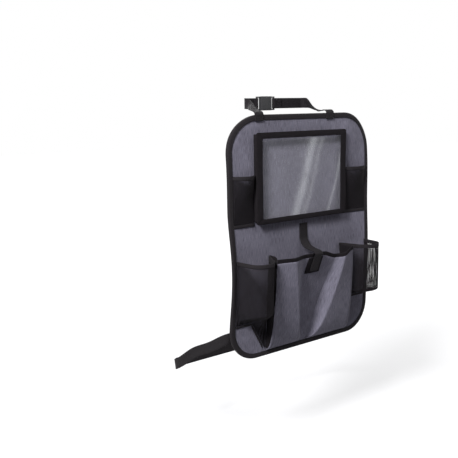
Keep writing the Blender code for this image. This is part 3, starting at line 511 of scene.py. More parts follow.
def clothPiece(name, columns, rows, place, cut, thickness, material, slot, nodes, closed=False):
    # A cloth piece from a grid laid out by place(across, up); cut is its flat width and length
    grid = bmesh.new()
    shares = grid.loops.layers.uv.new("cloth")
    bmesh.ops.create_grid(grid, x_segments=columns, y_segments=rows, size=0.5, calc_uvs=True)
    for face in grid.faces:
        for loop in face.loops:
            across, up = loop.vert.co.x + 0.5, loop.vert.co.y + 0.5
            loop[shares].uv = (across * cut[0], up * cut[1])
    for vertex in grid.verts:
        vertex.co = place(vertex.co.x + 0.5, vertex.co.y + 0.5)
    if closed:
        bmesh.ops.remove_doubles(grid, verts=grid.verts, dist=0.00001)
    piece = finishPiece(name, grid, material, slot, nodes)
    thicken(piece, thickness, even=True)
    return piece


netCut = dict(fineCell=0.0026, fineStrand=0.00122, cell=0.0030, strand=0.00112, depth=0.00050,
              covers=0.85, underHem=0.01)


def netPiece(name, width, length, cell, strand, place, slot, nodes):
    # Knitted net with six-sided holes: a brick grid with every other upright taken out, its corners
    # moved to hexagons, each face inset by half a strand and its middle taken away
    columns = 2 * round(width / cell)
    stepX = width / columns
    rows = round(length / (stepX * math.sqrt(3)))
    stepZ = length / rows
    grid = bmesh.new()
    bmesh.ops.create_grid(grid, x_segments=columns, y_segments=rows, size=0.5)
    place2d = {}
    for vertex in grid.verts:
        place2d[vertex] = (round((vertex.co.x + 0.5) * columns), round((vertex.co.y + 0.5) * rows))
    uprights = []
    for edge in grid.edges:
        (i, j), (k, m) = sorted(place2d[v] for v in edge.verts)
        if i == k and 0 < i < columns and (i + min(j, m)) % 2:
            uprights.append(edge)
    for vertex, (i, j) in place2d.items():
        shift = stepZ / 6 if 0 < j < rows else 0.0
        vertex.co = (i * stepX, j * stepZ + (shift if (i + j) % 2 == 0 else -shift), 0)
    bmesh.ops.dissolve_edges(grid, edges=uprights, use_verts=False)
    holes = grid.faces[:]
    bmesh.ops.inset_individual(grid, faces=holes, thickness=strand / 2, use_even_offset=True)
    bmesh.ops.delete(grid, geom=holes, context="FACES")
    for vertex in grid.verts:
        vertex.co = place(min(max(vertex.co.x / width, 0), 1), min(max(vertex.co.y / length, 0), 1))
    piece = finishPiece(name, grid, netYarn, slot, nodes)
    thicken(piece, netCut["depth"], even=False)
    return piece


stitch = dict(length=0.0026, pitch=0.0034, width=0.00055, height=0.00040)


def stitchPiece(name, runs, slot="binding_tape"):
    # Sewing thread: each run is a list of (point, outward direction), with a stitch every few millimetres
    sewn = bmesh.new()
    count = 0
    for run in runs:
        along = [0.0]
        for (first, _), (second, _) in zip(run, run[1:]):
            along.append(along[-1] + (second - first).length)
        stitches = max(1, round(along[-1] / stitch["pitch"]))
        index = 0
        for number in range(stitches):
            middle = (number + 0.5) / stitches * along[-1]
            while index < len(run) - 2 and along[index + 1] < middle:
                index += 1
            first, second = run[index], run[index + 1]
            span = max(along[index + 1] - along[index], 1e-9)
            share = (middle - along[index]) / span
            point = first[0].lerp(second[0], share)
            out = first[1].lerp(second[1], share).normalized()
            tangent = (second[0] - first[0]).normalized()
            side = out.cross(tangent).normalized()
            out = tangent.cross(side)
            turn = Matrix((tangent, side, out)).transposed().to_4x4()
            size = Matrix.Diagonal((stitch["length"] / 2, stitch["width"] / 2, stitch["height"] / 2, 1))
            bmesh.ops.create_icosphere(sewn, subdivisions=1, radius=1.0,
                                       matrix=Matrix.Translation(point) @ turn @ size)
            count += 1
    print(name, count, "stitches")
    finishPiece(name, sewn, sewingThread, slot)


def sewnOn(surface, route, lift):
    # Turns (across, up) pairs on a surface function into a run for stitchPiece
    run = []
    for across, up in route:
        here = surface(across, up)
        right = surface(min(across + 0.002, 1.0), up) - surface(max(across - 0.002, 0.0), up)
        rise = surface(across, min(up + 0.002, 1.0)) - surface(across, max(up - 0.002, 0.0))
        out = right.cross(rise)
        out = -out.normalized() if out.y > 0 else out.normalized()
        run.append((here + out * lift, out))
    return run


def line(first, last, steps):
    return [(mix(first[0], last[0], n / steps), mix(first[1], last[1], n / steps))
            for n in range(steps + 1)]


def lineRound(corners, steps):
    # Straight lines from each corner to the next
    points = []
    for first, last in zip(corners, corners[1:]):
        points += line(first, last, steps)
    return points


# Camera at the photo's viewing angle
lookFrom = dict(azimuth=-38.109, elevation=9.582, roll=-0.970, distance=1.7431, slideRight=-0.1762,
                slideUp=-0.0133, lens=57.026, target=(0.0, -0.1015, -0.286))


def makeCamera():
    data = bpy.data.cameras.new("camera")
    data.lens = lookFrom["lens"]
    data.sensor_width = 36.0
    data.clip_start = 0.01
    camera = bpy.data.objects.new("camera", data)
    bpy.context.scene.collection.objects.link(camera)
    turn = (Matrix.Rotation(math.radians(lookFrom["azimuth"]), 4, "Z")
            @ Matrix.Rotation(math.radians(90 - lookFrom["elevation"]), 4, "X")
            @ Matrix.Rotation(math.radians(lookFrom["roll"]), 4, "Z"))
    away = Matrix.Translation((lookFrom["slideRight"], lookFrom["slideUp"], lookFrom["distance"]))
    camera.matrix_world = Matrix.Translation(lookFrom["target"]) @ turn @ away
    bpy.context.scene.camera = camera


makeCamera()


# Padded heather front of the panel, with the pull of the seams
swell = dict(
    wave=0.0011, waveSize=0.075, pucker=0.00045, puckerPitch=0.012, puckerReach=0.030, crease=0.0026,
    creaseWidth=0.007, creaseZ=0.512, creaseReach=0.050, shoulder=0.0042, shoulderX=0.154,
    shoulderReach=0.052, shoulderZ=0.50, shoulderHeight=0.12, calmReach=0.03, puckerIn=0.006,
    puckerStart=0.004, puckerRound=0.32, puckerDrift=3.0, driftSize=0.05, creaseTopX=0.092,
    creaseFootX=0.128, creaseRun=0.09)


def rowHeights(turns, straight, setback):
    bottom, top = panel["bottomCorner"], panel["height"] - panel["topCorner"]
    angles = [math.pi / 2 * n / turns for n in range(turns + 1)]
    heights = [bottom - (bottom - setback) * math.cos(a) for a in angles[:-1]]
    heights += [mix(bottom, top, n / straight) for n in range(straight)]
    return heights + [top + (panel["topCorner"] - setback) * math.sin(a) for a in angles]


def panelSwell(x, z):
    inside = edgeDistance(x, z) - panel["bindingWidth"]
    if inside <= 0:
        return 0.0
    calm = ease(inside / swell["calmReach"])
    wave = swell["wave"] * calm * noise.noise(Vector((x, z * 0.8, 0.3)) / swell["waveSize"])
    around = math.atan2(z - panel["height"] / 2, x) * swell["puckerRound"]
    fade = math.exp(-((inside - swell["puckerIn"]) / swell["puckerReach"]) ** 2)
    drift = swell["puckerDrift"] * noise.noise(Vector((x, z, 2.0)) / swell["driftSize"])
    ripple = math.sin(2 * math.pi * around / swell["puckerPitch"] + drift)
    pucker = swell["pucker"] * fade * min(inside / swell["puckerStart"], 1.0) * ripple
    down = (panel["height"] - z) / swell["creaseRun"]
    creaseLine = x - mix(swell["creaseTopX"], swell["creaseFootX"], down)
    crease = swell["crease"] * math.exp(-(creaseLine / swell["creaseWidth"]) ** 2)
    crease *= bell(z, swell["creaseZ"], swell["creaseReach"]) * calm
    shoulder = swell["shoulder"] * bell(x, swell["shoulderX"], swell["shoulderReach"])
    shoulder *= bell(z, swell["shoulderZ"], swell["shoulderHeight"])
    return wave + pucker + crease + shoulder * calm


def makePanelLayer(name, lift, thickness, swelling, columns, turns, straight, material, slot, node, rises):
    heights = rowHeights(turns, straight, panel["slack"])

    def place(across, up):
        z = heights[round(up * (len(heights) - 1))]
        half = halfWidth - cornerInset(z, panel["slack"])
        x = (across * 2 - 1) * half
        return onPanel(x, z, lift + swelling(x, z) * rises)

    piece = clothPiece(name, columns, len(heights) - 1, place, (panel["width"], panel["height"]), thickness,
                       material, slot, (node,))
    mapByPlace(piece)


makePanelLayer("heatherPanel", panel["seam"] / 2 + panel["thickness"] / 2, panel["thickness"], panelSwell,
               panel["columns"], 26, 110, heatherCloth, "heather_cloth", "front_panel", 1.0)
makePanelLayer("liningPanel", -(panel["seam"] / 2 + panel["lining"] / 2), panel["lining"], panelSwell, 60, 14,
               44, liningCloth, "lining_cloth", "back_lining", -0.35)
print("panel made")

# Tape folded over the panel's edge
binding = dict(width=panel["bindingWidth"], thickness=0.0009, clear=0.0006, fold=0.0008, puff=0.00035,
               ripple=0.00022, turn=0.006, pitch=0.0095, stitchIn=0.0025, cornerSteps=34, uprightSteps=90,
               levelSteps=56)


def outlineStations(cornerSteps, uprightSteps, levelSteps):
    # Points round the panel's edge, each with its inward direction
    low, high = panel["bottomCorner"], panel["topCorner"]
    turns = ((halfWidth - low, low, low, -90), (halfWidth - high, panel["height"] - high, high, 0),
             (high - halfWidth, panel["height"] - high, high, 90), (low - halfWidth, low, low, 180))
    corners = []
    for x, z, radius, start in turns:
        angles = [math.radians(start + 90 * n / cornerSteps) for n in range(cornerSteps + 1)]
        corners.append([(x + radius * math.cos(a), z + radius * math.sin(a), -math.cos(a), -math.sin(a))
                        for a in angles])
    stations = []
    for index, corner in enumerate(corners):
        stations += corner
        last, following = corner[-1], corners[(index + 1) % 4][0]
        steps = levelSteps if index % 2 else uprightSteps
        stations += [(mix(last[0], following[0], n / steps), mix(last[1], following[1], n / steps),
                      following[2], following[3]) for n in range(1, steps)]
    return stations


edgeStations = outlineStations(binding["cornerSteps"], binding["uprightSteps"], binding["levelSteps"])
edgeAlong = [0.0]
for first, second in zip(edgeStations, edgeStations[1:] + edgeStations[:1]):
    edgeAlong.append(edgeAlong[-1] + math.hypot(second[0] - first[0], second[1] - first[1]))


def bindingPoint(index, inward, lift):
    x, z, inX, inZ = edgeStations[index % len(edgeStations)]
    base = onPanel(x, z, lift)
    return base + (onPanel(x + inX * 0.01, z + inZ * 0.01, lift) - base) * (inward / 0.01)


def makeBinding():
    half = binding["thickness"] / 2
    ahead = front + binding["clear"] + half
    behind = -(back + binding["clear"] + half)
    fold, width = binding["fold"], binding["width"]
    middle = (ahead + behind) / 2
    stitchIn = width - binding["stitchIn"]
    profile = [(width, ahead - 0.0001), (width - 0.0010, ahead + 0.0002), (stitchIn, ahead - 0.0001),
               (width * 0.55, ahead + binding["puff"]), (width * 0.25, ahead + binding["puff"]),
               (fold, ahead + 0.0001), (0.0001, ahead - fold * 0.45), (-half, mix(ahead, middle, 0.5)),
               (-half - 0.0002, middle), (-half, mix(behind, middle, 0.5)), (0.0001, behind + fold * 0.45),
               (fold, behind), (width * 0.5, behind - binding["puff"]), (width, behind)]
    count = len(edgeStations)
    cutWidth = 2 * width + binding["turn"]

    def place(along, over):
        index = round(along * count)
        inward, lift = profile[round(over * (len(profile) - 1))]
        ripple = binding["ripple"] * math.sin(2 * math.pi * edgeAlong[index % count] / binding["pitch"]
                                              + 2.5 * math.sin(edgeAlong[index % count] / 0.043))
        outward = 1 if lift > middle else -1
        return bindingPoint(index, inward, lift + outward * max(ripple, 0) * min(inward / 0.003, 1))

    piece = clothPiece("bindingTape", count, len(profile) - 1, place, (edgeAlong[-1], cutWidth),
                       binding["thickness"], bindingTape, "binding_tape", ("edge_binding",), closed=True)
    runs = []
    for lift, facing in ((ahead + half, 1), (behind - half, -1)):
        out = Vector((0, -facing, 0))
        runs.append([(bindingPoint(index, stitchIn, lift), out) for index in range(0, count + 1, 2)])
    stitchPiece("bindingStitches", runs)


makeBinding()
print("binding made")


# Film pocket: black tape frame, gusset on three sides and a clear film
tabletFront = front + panel["seam"] + tablet["depth"] + panel["seam"] + tablet["frame"] / 2


def tabletOutline(inset, radius):
    # Points round a rounded rectangle that lies inset inside the frame, given as left, right, low, top
    left, right, low, top = inset
    halfWide = (tablet["width"] - left - right) / 2
    middleX = tablet["x"] + (left - right) / 2
    base, crest = tablet["bottom"] + low, tablet["bottom"] + tablet["height"] - top
    turns = ((1, base + radius, -90), (1, crest - radius, 0),
             (-1, crest - radius, 90), (-1, base + radius, 180))

    def onTurn(turn, share):
        side, z, start = turn
        a = math.radians(start + 90 * share)
        return middleX + side * (halfWide - radius) + radius * math.cos(a), z + radius * math.sin(a)

    points = []
    for index, turn in enumerate(turns):
        points += [onTurn(turn, step / tablet["cornerSteps"]) for step in range(tablet["cornerSteps"] + 1)]
        steps = tablet["levelSteps"] if index % 2 else tablet["uprightSteps"]
        points += line(points[-1], onTurn(turns[(index + 1) % 4], 0), steps)[1:-1]
    return points


def frameSag(x, z):
    return tablet["sag"] * noise.noise(Vector((x, z, 5.0)) / tablet["sagSize"])


def makeTabletFrame():
    borders = (tablet["side"], tablet["side"], tablet["low"], tablet["top"])
    outer = tabletOutline((0, 0, 0, 0), tablet["corner"])
    inner = tabletOutline(borders, tablet["corner"] / 2)
    count = len(outer)
    profile = [(0.0, -0.0011), (0.0, -0.0003), (0.03, 0.0), (0.14, -0.0001), (0.30, 0.0003), (0.55, 0.0004),
               (0.80, 0.0002), (0.88, -0.0001), (0.96, 0.0001), (1.0, -0.0003)]

    def place(along, over):
        index = round(along * count) % count
        share, rise = profile[round(over * (len(profile) - 1))]
        x = mix(outer[index][0], inner[index][0], share)
        z = mix(outer[index][1], inner[index][1], share)
        wave = tablet["frameWave"] * math.sin(index * 0.55) * math.sin(math.pi * share)
        return onPanel(x, z, tabletFront + rise + wave + frameSag(x, z))

    around = 2 * (tablet["width"] + tablet["height"]) - 4 * tablet["side"]
    piece = clothPiece("tabletFrameTape", count, len(profile) - 1, place, (around, tablet["side"]),
                       tablet["frame"], blackCloth, "black_cloth", ("tablet_frame",), closed=True)
    runs = []
    for start, end in ((outer, inner), (inner, outer)):
        run = []
        for index in range(count + 1):
            a, b = start[index % count], end[index % count]
            share = tablet["stitchIn"] / math.hypot(b[0] - a[0], b[1] - a[1])
            x, z = mix(a[0], b[0], share), mix(a[1], b[1], share)
            point = onPanel(x, z, tabletFront + tablet["frame"] / 2 + frameSag(x, z))
            run.append((point, Vector((0, -1, 0))))
        runs.append(run)
    stitchPiece("tabletStitches", runs, "black_cloth")


def makeTabletGusset():
    inset = tablet["inset"]
    half = tablet["width"] / 2 - inset
    low, top = tablet["bottom"] + inset, tablet["bottom"] + tablet["height"] - inset
    radius = tablet["corner"]
    route = [(-half, mix(top, low + radius, n / 24)) for n in range(24)]
    route += [(-half + radius * (1 - math.cos(a)), low + radius * (1 - math.sin(a)))
              for a in [math.pi / 2 * n / 8 for n in range(9)]]
    route += [(mix(-half + radius, 0, n / 16), low) for n in range(1, 17)]
    route += [(-x, z) for x, z in reversed(route[:-1])]
    count = len(route) - 1
    start = front + panel["seam"]

    def place(along, out):
        index = round(along * count)
        x, z = route[index]
        tuck = (tablet["tuck"] + tablet["crumple"] * math.sin(index * 0.9)) * math.sin(math.pi * out)
        x -= math.copysign(tuck, x) if abs(x) > half - radius / 2 else 0
        z += tuck if z < low + radius / 2 else 0
        return onPanel(tablet["x"] + x, z, mix(start, start + tablet["depth"], out))

    length = 2 * (top - low) + 2 * half
    piece = clothPiece("tabletGusset", count, 8, place, (length, tablet["depth"]), tablet["gusset"],
                       blackCloth, "black_cloth", ("tablet_gusset",))


def makeTabletFilm():
    lap = tablet["lap"]
    left = tablet["x"] - tablet["width"] / 2 + tablet["side"] - lap
    width = tablet["width"] - 2 * (tablet["side"] - lap)
    low = tablet["bottom"] + tablet["low"] - lap
    length = tablet["height"] - tablet["low"] - tablet["top"] + 2 * lap
    lift = tabletFront - tablet["frame"] / 2 - panel["seam"] - tablet["film"] / 2

    def place(across, up):
        x, z = left + across * width, low + up * length
        free = min(across, 1 - across) * width, min(up, 1 - up) * length
        loose = ease(min(free) / 0.03)
        wave = tablet["filmWave"] * noise.noise(Vector((x * 0.8, z * 1.6, 7.0)) / tablet["filmWaveSize"])
        wave += tablet["filmRipple"] * math.sin(z / 0.011 + x * 25)
        return onPanel(x, z, lift + loose * wave)

    piece = clothPiece("tabletFilm", 96, 64, place, (width, length), tablet["film"], clearFilm, "clear_film",
                       ("tablet_window",))


makeTabletFrame()
makeTabletGusset()
makeTabletFilm()
print("tablet pocket made")


# Small net pockets beside the film pocket
smallPocket = dict(
    bottom=0.319, top=0.428, bulge=0.020, margin=-0.0015, rise=0.75, hem=0.009, hemThickness=0.0018,
    tape=0.007, tapeThickness=0.0010, tapePuff=0.0002, mesh=0.0010, ruffle=0.0004, rufflePitch=0.0052,
    ease=1.22, netEase=1.03, hemColumns=96, tapeColumns=30, tapeStitch=0.0006, hemStitch=0.0011)
bindingInner = halfWidth - panel["bindingWidth"] - panel["seam"]
tapeLift = front + panel["seam"] + smallPocket["tapeThickness"] / 2


def hemSurface(surface, start, ruffle=0.0, pitch=1.0, length=1.0):
    # Elastic hem: a rolled tape whose gathers stand out in small ribs, or a plain one for its stitches
    def place(across, up):
        turn = 2 * math.pi * across * length / pitch + 1.5 * math.sin(across * 23)
        rolled = math.sin(math.pi * min(max(up, 0.02), 0.98)) ** 0.5
        return surface(across, mix(start, 1.0, up), ruffle * (0.5 + 0.5 * math.sin(turn)) * rolled)
    return place


def makeNetPocket(label, surface, foot, hemStart, look, hemHeight, mesh, net, tape):
    # Net, elastic hem and foot tape; mesh is the cell and the strand, net and tape are cut sizes
    node = label[:5] + "_" + label[5:].lower()
    meshEnd = hemStart + netCut["underHem"]
    netting = netPiece(label + "Net", *net, *mesh, lambda a, u: surface(a, u * meshEnd), "black_net",
                       (node + "_mesh",))
    rolled = hemSurface(surface, hemStart, look["ruffle"], look["rufflePitch"], net[0])
    hem = clothPiece(label + "Hem", look["hemColumns"], 6, rolled, (net[0], hemHeight),
                     smallPocket["hemThickness"], bindingTape, "binding_tape", (node + "_hem",))
    footTape = clothPiece(label + "Tape", look["tapeColumns"], 5, foot, tape, smallPocket["tapeThickness"],
                          bindingTape, "binding_tape", (node + "_tape",))


def makeSmallPocket(label, side, inner, outer):
    base = front + panel["seam"] + smallPocket["mesh"] / 2
    height = smallPocket["top"] - smallPocket["bottom"]
    hemStart = 1 - smallPocket["hem"] / height
    width = outer - inner
    rise = smallPocket["rise"]

    def surface(across, up, extra=0.0):
        share = across if side > 0 else 1 - across
        crown = math.sin(math.pi * min(max(share, 0.0), 1.0)) ** 0.8 if 0 < share < 1 else 0.0
        lift = base + extra + smallPocket["bulge"] * crown * ease(up * rise) / ease(rise)
        z = mix(smallPocket["bottom"], smallPocket["top"], up)
        return onPanel(side * mix(inner, outer, share), z, lift)

    def foot(across, up):
        share = across if side > 0 else 1 - across
        z = smallPocket["bottom"] - panel["seam"] - smallPocket["tape"] * (1 - up)
        puff = smallPocket["tapePuff"] * math.sin(math.pi * up)
        return onPanel(side * mix(inner, outer, share), z, tapeLift + puff)

    cutWidth = width * smallPocket["ease"]
    netHeight = height * (hemStart + netCut["underHem"]) * smallPocket["netEase"]
    makeNetPocket(label, surface, foot, hemStart, smallPocket, smallPocket["hem"],
                  mesh=(netCut["fineCell"], netCut["fineStrand"]),
                  net=(cutWidth, netHeight),
                  tape=(width, smallPocket["tape"]))
    flatHem = hemSurface(surface, hemStart)
    runs = [sewnOn(foot, line((0.01, up), (0.99, up), 12), smallPocket["tapeStitch"])
            for up in (0.78, 0.25)]
    runs.append(sewnOn(flatHem, line((0.02, 0.22), (0.98, 0.22), 30), smallPocket["hemStitch"]))
    stitchPiece(label + "Stitches", runs)


frameSide = tablet["width"] / 2 + smallPocket["margin"]
makeSmallPocket("upperLeft", -1, frameSide - tablet["x"], bindingInner - panel["seam"])
makeSmallPocket("upperRight", 1, frameSide + tablet["x"], bindingInner - panel["seam"])
print("small pockets made")


# Deep net pockets at the sides: round and full up to the hem, with a slanted seam at the foot
bottle = dict(
    x=0.1740, radius=0.0355, top=0.238, seams=(0.087, 0.097), feet=(0.016, 0.088), corner=0.166,
    floor=0.106, clear=0.0018, rootClear=0.0028, floorRun=0.016, tapeHeight=0.0045, tapeEnd=0.0080,
    ruffle=0.0005, rufflePitch=0.0060, gather=0.0011, gatherPitch=0.0085, ease=1.08, hemColumns=150,
    tapeColumns=48, tapeStitch=0.0007, hemStitch=0.0012)
centre = dict(
    top=0.238, bottom=0.0140, topX=(-0.131, -0.085, -0.042, -0.020, 0.060, 0.080, 0.117),
    bottomX=(-0.124, -0.030, -0.008, -0.006, -0.002, 0.004, 0.140), bends=(1, 1, 1, 1, 0.5, 0.5, 1),
    rootTopX=(-0.108, 0.124), edge=0.052, ridge=0.064, valley=0.0515, edgeRise=0.45, ridgeRise=0.50,
    valleyRise=1.9, foldRise=0.0030, slip=0.034, slipAt=0.42, slipReach=0.36, crease=1.6, flank=1.25,
    cheek=2.2, soft=0.4, sag=0.012, sagX=0.062, sagReach=0.046, gussetStart=0.02, crowd=1.5,
    thickness=0.0016, gusset=0.0010, tuck=0.006, hem=0.009, fold=0.0014, foldSize=0.05, calmX=-0.008,
    calmReach=0.035, pucker=0.0005, crumple=0.0009, cut=(0.270, 0.236), gussetCut=0.052,
    gussetFill=0.69, ruffle=0.0003, rufflePitch=0.008, hemStitch=0.0011, seamStitch=0.001, columns=120,
    rows=96)
centreHeight = centre["top"] - centre["bottom"]


def bottleSection(outer, inner):
    # The full pocket's path from the panel's edge round to the centre pocket, evenly spaced
    middle = (bottle["x"], bottle["radius"] + smallPocket["mesh"])
    radius = bottle["radius"]
    across = middle[0] - inner
    distance = math.hypot(across, middle[1])
    tangent = math.sqrt(distance ** 2 - radius ** 2)
    slope = math.atan2(middle[1], across) + math.asin(radius / distance)
    leave = math.pi / 2 + slope
    path = [(outer, 0.0), (mix(outer, middle[0] + radius, 0.5), middle[1] * 0.5)]
    path += [(middle[0] + radius * math.cos(leave * n / 24), middle[1] + radius * math.sin(leave * n / 24))
             for n in range(25)]
    wall = (inner + tangent * math.cos(slope), tangent * math.sin(slope))
    path += [(mix(wall[0], inner, s), wall[1] * (1 - s)) for s in (0.28, 0.55, 0.80)]
    path.append((inner, 0.0))
    along = [0.0]
    for first, second in zip(path, path[1:]):
        along.append(along[-1] + math.dist(first, second))

    def at(share):
        target = share * along[-1]
        index = 0
        while index < len(path) - 2 and along[index + 1] < target:
            index += 1
        part = (target - along[index]) / (along[index + 1] - along[index])
        return mix(path[index][0], path[index + 1][0], part), mix(path[index][1], path[index + 1][1], part)

    return at, along[-1]


def makeBottlePocket(label, side, rootTop, rootBottom):
    foot, seam = bottle["feet"][side > 0], bottle["seams"][side > 0]
    outer = bindingInner - bottle["clear"]
    innerTop = rootTop + bottle["rootClear"]
    footUp = (foot - centre["bottom"]) / centreHeight
    innerBottom = mix(rootBottom, rootTop, footUp) + bottle["rootClear"]
    at, length = bottleSection(outer, innerTop)
    base = front + panel["seam"] + smallPocket["mesh"] / 2
    slope = (seam - foot) / (bottle["corner"] - innerBottom)

    def seamHeight(x):
        return min(foot + slope * (x - innerBottom), seam)

    def surface(across, up, extra=0.0):
        share = across if side < 0 else 1 - across
        flatBottom = mix(outer, innerBottom, share)
        low = seamHeight(flatBottom)
        z = mix(low, bottle["top"], up)
        swellShare = ease((z - low) / (bottle["floor"] - low + bottle["floorRun"]))
        full = at(min(max(share, 0.0), 1.0))
        drift = mix(innerBottom, innerTop, up) - innerTop
        x = mix(mix(flatBottom, mix(outer, innerTop, share), up), full[0] + drift * share ** 2, swellShare)
        lift = full[1] * swellShare
        if extra:
            near, far = at(max(share - 0.02, 0.0)), at(min(share + 0.02, 1.0))
            run = math.dist(near, far)
            x += extra * (near[1] - far[1]) / run
            lift += extra * (near[0] - far[0]) / run
        gather = bottle["gather"] * math.sin(share * length / bottle["gatherPitch"] * math.pi)
        gather *= (1 - swellShare) * min(up / 0.06, 1.0)
        return onPanel(side * x, z, base + lift + gather)

    height = bottle["top"] - seam
    hemStart = 1 - centre["hem"] / height
    tapeIn = innerBottom + bottle["tapeEnd"]

    def seamTape(across, up):
        x = mix(outer, tapeIn, across if side < 0 else 1 - across)
        steep = math.hypot(1, slope) if x < bottle["corner"] else 1.0
        below = panel["seam"] + smallPocket["mesh"] + bottle["tapeHeight"] * (1 - up)
        puff = smallPocket["tapePuff"] * math.sin(math.pi * up)
        return onPanel(side * x, seamHeight(x) - below * steep, tapeLift + puff)

    netHeight = height * bottle["ease"]
    makeNetPocket(label, surface, seamTape, hemStart, bottle, centre["hem"],
                  mesh=(netCut["cell"], netCut["strand"]), net=(length, netHeight),
                  tape=(outer - tapeIn, bottle["tapeHeight"]))
    flatHem = hemSurface(surface, hemStart)
    stitchPiece(label + "Stitches", [
        sewnOn(seamTape, line((0.01, 0.5), (0.99, 0.5), 40), bottle["tapeStitch"]),
        sewnOn(flatHem, line((0.02, 0.2), (0.98, 0.2), 60), bottle["hemStitch"])])


makeBottlePocket("lowerLeft", -1, -centre["rootTopX"][0], -centre["bottomX"][0])
makeBottlePocket("lowerRight", 1, centre["rootTopX"][1], centre["bottomX"][-1])
print("bottle pockets made")


# Big centre pocket: pleated heather front, black hem and gussets
def centreKeys(up):
    # Edge, ridge, valley, the soft fold that the strap pulls out, valley, ridge, edge
    edge = centre["edge"] * up ** centre["edgeRise"]
    ridge = centre["ridge"] * up ** centre["ridgeRise"]
    valley = centre["valley"] * up ** centre["valleyRise"]
    fold = valley + centre["foldRise"] * (1 - (1 - up) ** 3)
    places = [mix(low, high, up ** bend)
              for low, high, bend in zip(centre["bottomX"], centre["topX"], centre["bends"])]
    places[3] += centre["slip"] * bell(up, centre["slipAt"], centre["slipReach"])
    return places, (edge, ridge, valley, fold, valley, ridge, edge)


def pleatShare(index, share):
    # How far the cloth has gone from one key depth to the next: the ridges are creased, the valleys soft
    share = min(max(share, 0.0), 1.0)
    if index in (2, 3):
        return ease(share)
    if index == 1:
        creased = 1 - (1 - share) ** centre["crease"]
    else:
        creased = share ** {0: centre["flank"], 4: centre["crease"], 5: centre["cheek"]}[index]
    return mix(creased, ease(share), centre["soft"])


def centreDepth(x, up):
    places, depths = centreKeys(up)
    for index in range(6):
        if x <= places[index + 1] or index == 5:
            share = (x - places[index]) / (places[index + 1] - places[index])
            return mix(depths[index], depths[index + 1], pleatShare(index, share))


def centreSurface(across, up, extra=0.0):
    places, depths = centreKeys(up)
    key = across * 6
    index = min(int(key + 0.0001), 5)
    x = mix(places[index], places[index + 1], key - index)
    sag = centre["sag"] * bell(x, centre["sagX"], centre["sagReach"]) * ease((up - 0.3) / 0.7)
    lift = mix(depths[index], depths[index + 1], pleatShare(index, key - index))
    folds = centre["fold"] * noise.noise(Vector((x * 1.3, up * 0.12, 9.0)) / centre["foldSize"])
    folds += centre["pucker"] * math.sin(x / 0.0021) * math.exp(-(up / 0.05) ** 2)
    calm = min(up / 0.05, 1.0) * min((1 - up) / 0.04 + 0.1, 1.0)
    calm *= min(across / 0.03, (1 - across) / 0.03, 1.0)
    calm *= min(abs(x - centre["calmX"]) / centre["calmReach"], 1.0)
    base = front + panel["seam"] + centre["thickness"] / 2
    return onPanel(x, mix(centre["bottom"], centre["top"], up) - sag, base + lift + extra + folds * calm)


def makeCentreFront():
    hemStart = 1 - centre["hem"] / centreHeight
    meshEnd = hemStart - panel["seam"] / centreHeight
    columns, cut = centre["columns"], centre["cut"]

    def place(across, up):
        return centreSurface(across, up ** centre["crowd"] * meshEnd)

    pocket = clothPiece("centrePocket", columns, centre["rows"], place, cut, centre["thickness"],
                        heatherCloth, "heather_cloth", ("centre_pocket_front",))
    mapByPlace(pocket, columns)
    rolled = hemSurface(centreSurface, hemStart, centre["ruffle"], centre["rufflePitch"], cut[0])
    hem = clothPiece("centreHem", columns, 6, rolled, (cut[0], centre["hem"]), smallPocket["hemThickness"],
                     blackCloth, "black_cloth", ("centre_pocket_hem",))
    flatHem = hemSurface(centreSurface, hemStart)
    runs = [sewnOn(flatHem, line((0.01, 0.2), (0.99, 0.2), 60), centre["hemStitch"])]
    for first, last, steps in (((0.012, 0.03), (0.012, 0.94), 40), ((0.988, 0.03), (0.988, 0.94), 40),
                               ((0.02, 0.016), (0.98, 0.016), 60)):
        runs.append(sewnOn(centreSurface, line(first, last, steps), centre["seamStitch"]))
    stitchPiece("centreStitches", runs, "heather_cloth")


def makeCentreGusset(label, node, side, key, rootX):
    def place(out, up):
        high = mix(centre["gussetStart"], 1.0, up ** centre["crowd"])
        places, depths = centreKeys(high)
        root = mix(centre["bottomX"][key], rootX, high)
        bow = math.sin(math.pi * out)
        crumple = centre["crumple"] * noise.noise(Vector((out * 2.2, up * 5, side * 3.0))) * bow
        edge = places[key] - side * (centre["gusset"] / 2 + panel["seam"])
        x = mix(root, edge, out) - side * centre["tuck"] * bow * high - side * abs(crumple)
        reach = front + depths[key] - centre["thickness"]
        z = mix(centre["bottom"], centre["top"], high)
        return onPanel(x, z, mix(front + 2 * panel["seam"], reach, out))

    size = (centre["gussetCut"], centreHeight)
    gusset = clothPiece(label, 20, 60, place, size, centre["gusset"], blackCloth, "black_cloth", (node,))


makeCentreFront()
makeCentreGusset("gussetLeft", "centre_gusset_left", -1, 0, centre["rootTopX"][0])
makeCentreGusset("gussetRight", "centre_gusset_right", 1, -1, centre["rootTopX"][1])
print("centre pocket made")


# Webbing: the closure strap with its patches, then the top loop and the bottom loop
strap = dict(
    width=0.025, thickness=0.0013, columns=8, fastener=0.0010, fastenerInset=0.0015, patchGap=0.0006,
    closureX=-0.001, frontX=-0.008, root=0.302, end=0.193, loopWidth=0.046, loopHeight=0.040,
    slack=0.0004, slackSize=0.03, stitchLift=0.0008, boxLift=0.0009, patchLift=0.0006)


def smoothRoute(points, step):
    dense = []
    last = len(points) - 1
    for index in range(last):
        p0, p1 = points[max(index - 1, 0)], points[index]
        p2, p3 = points[index + 1], points[min(index + 2, last)]
        count = max(1, math.ceil(math.dist(p1[:3], p2[:3]) / step))
        for part in range(count):
            t = part / count
            dense.append([0.5 * (2 * b + (c - a) * t + (2 * a - 5 * b + 4 * c - d) * t * t
                                 + (3 * b - a - 3 * c + d) * t * t * t)
                          for a, b, c, d in zip(p0, p1, p2, p3)])
    dense.append(list(points[-1]))
    return dense


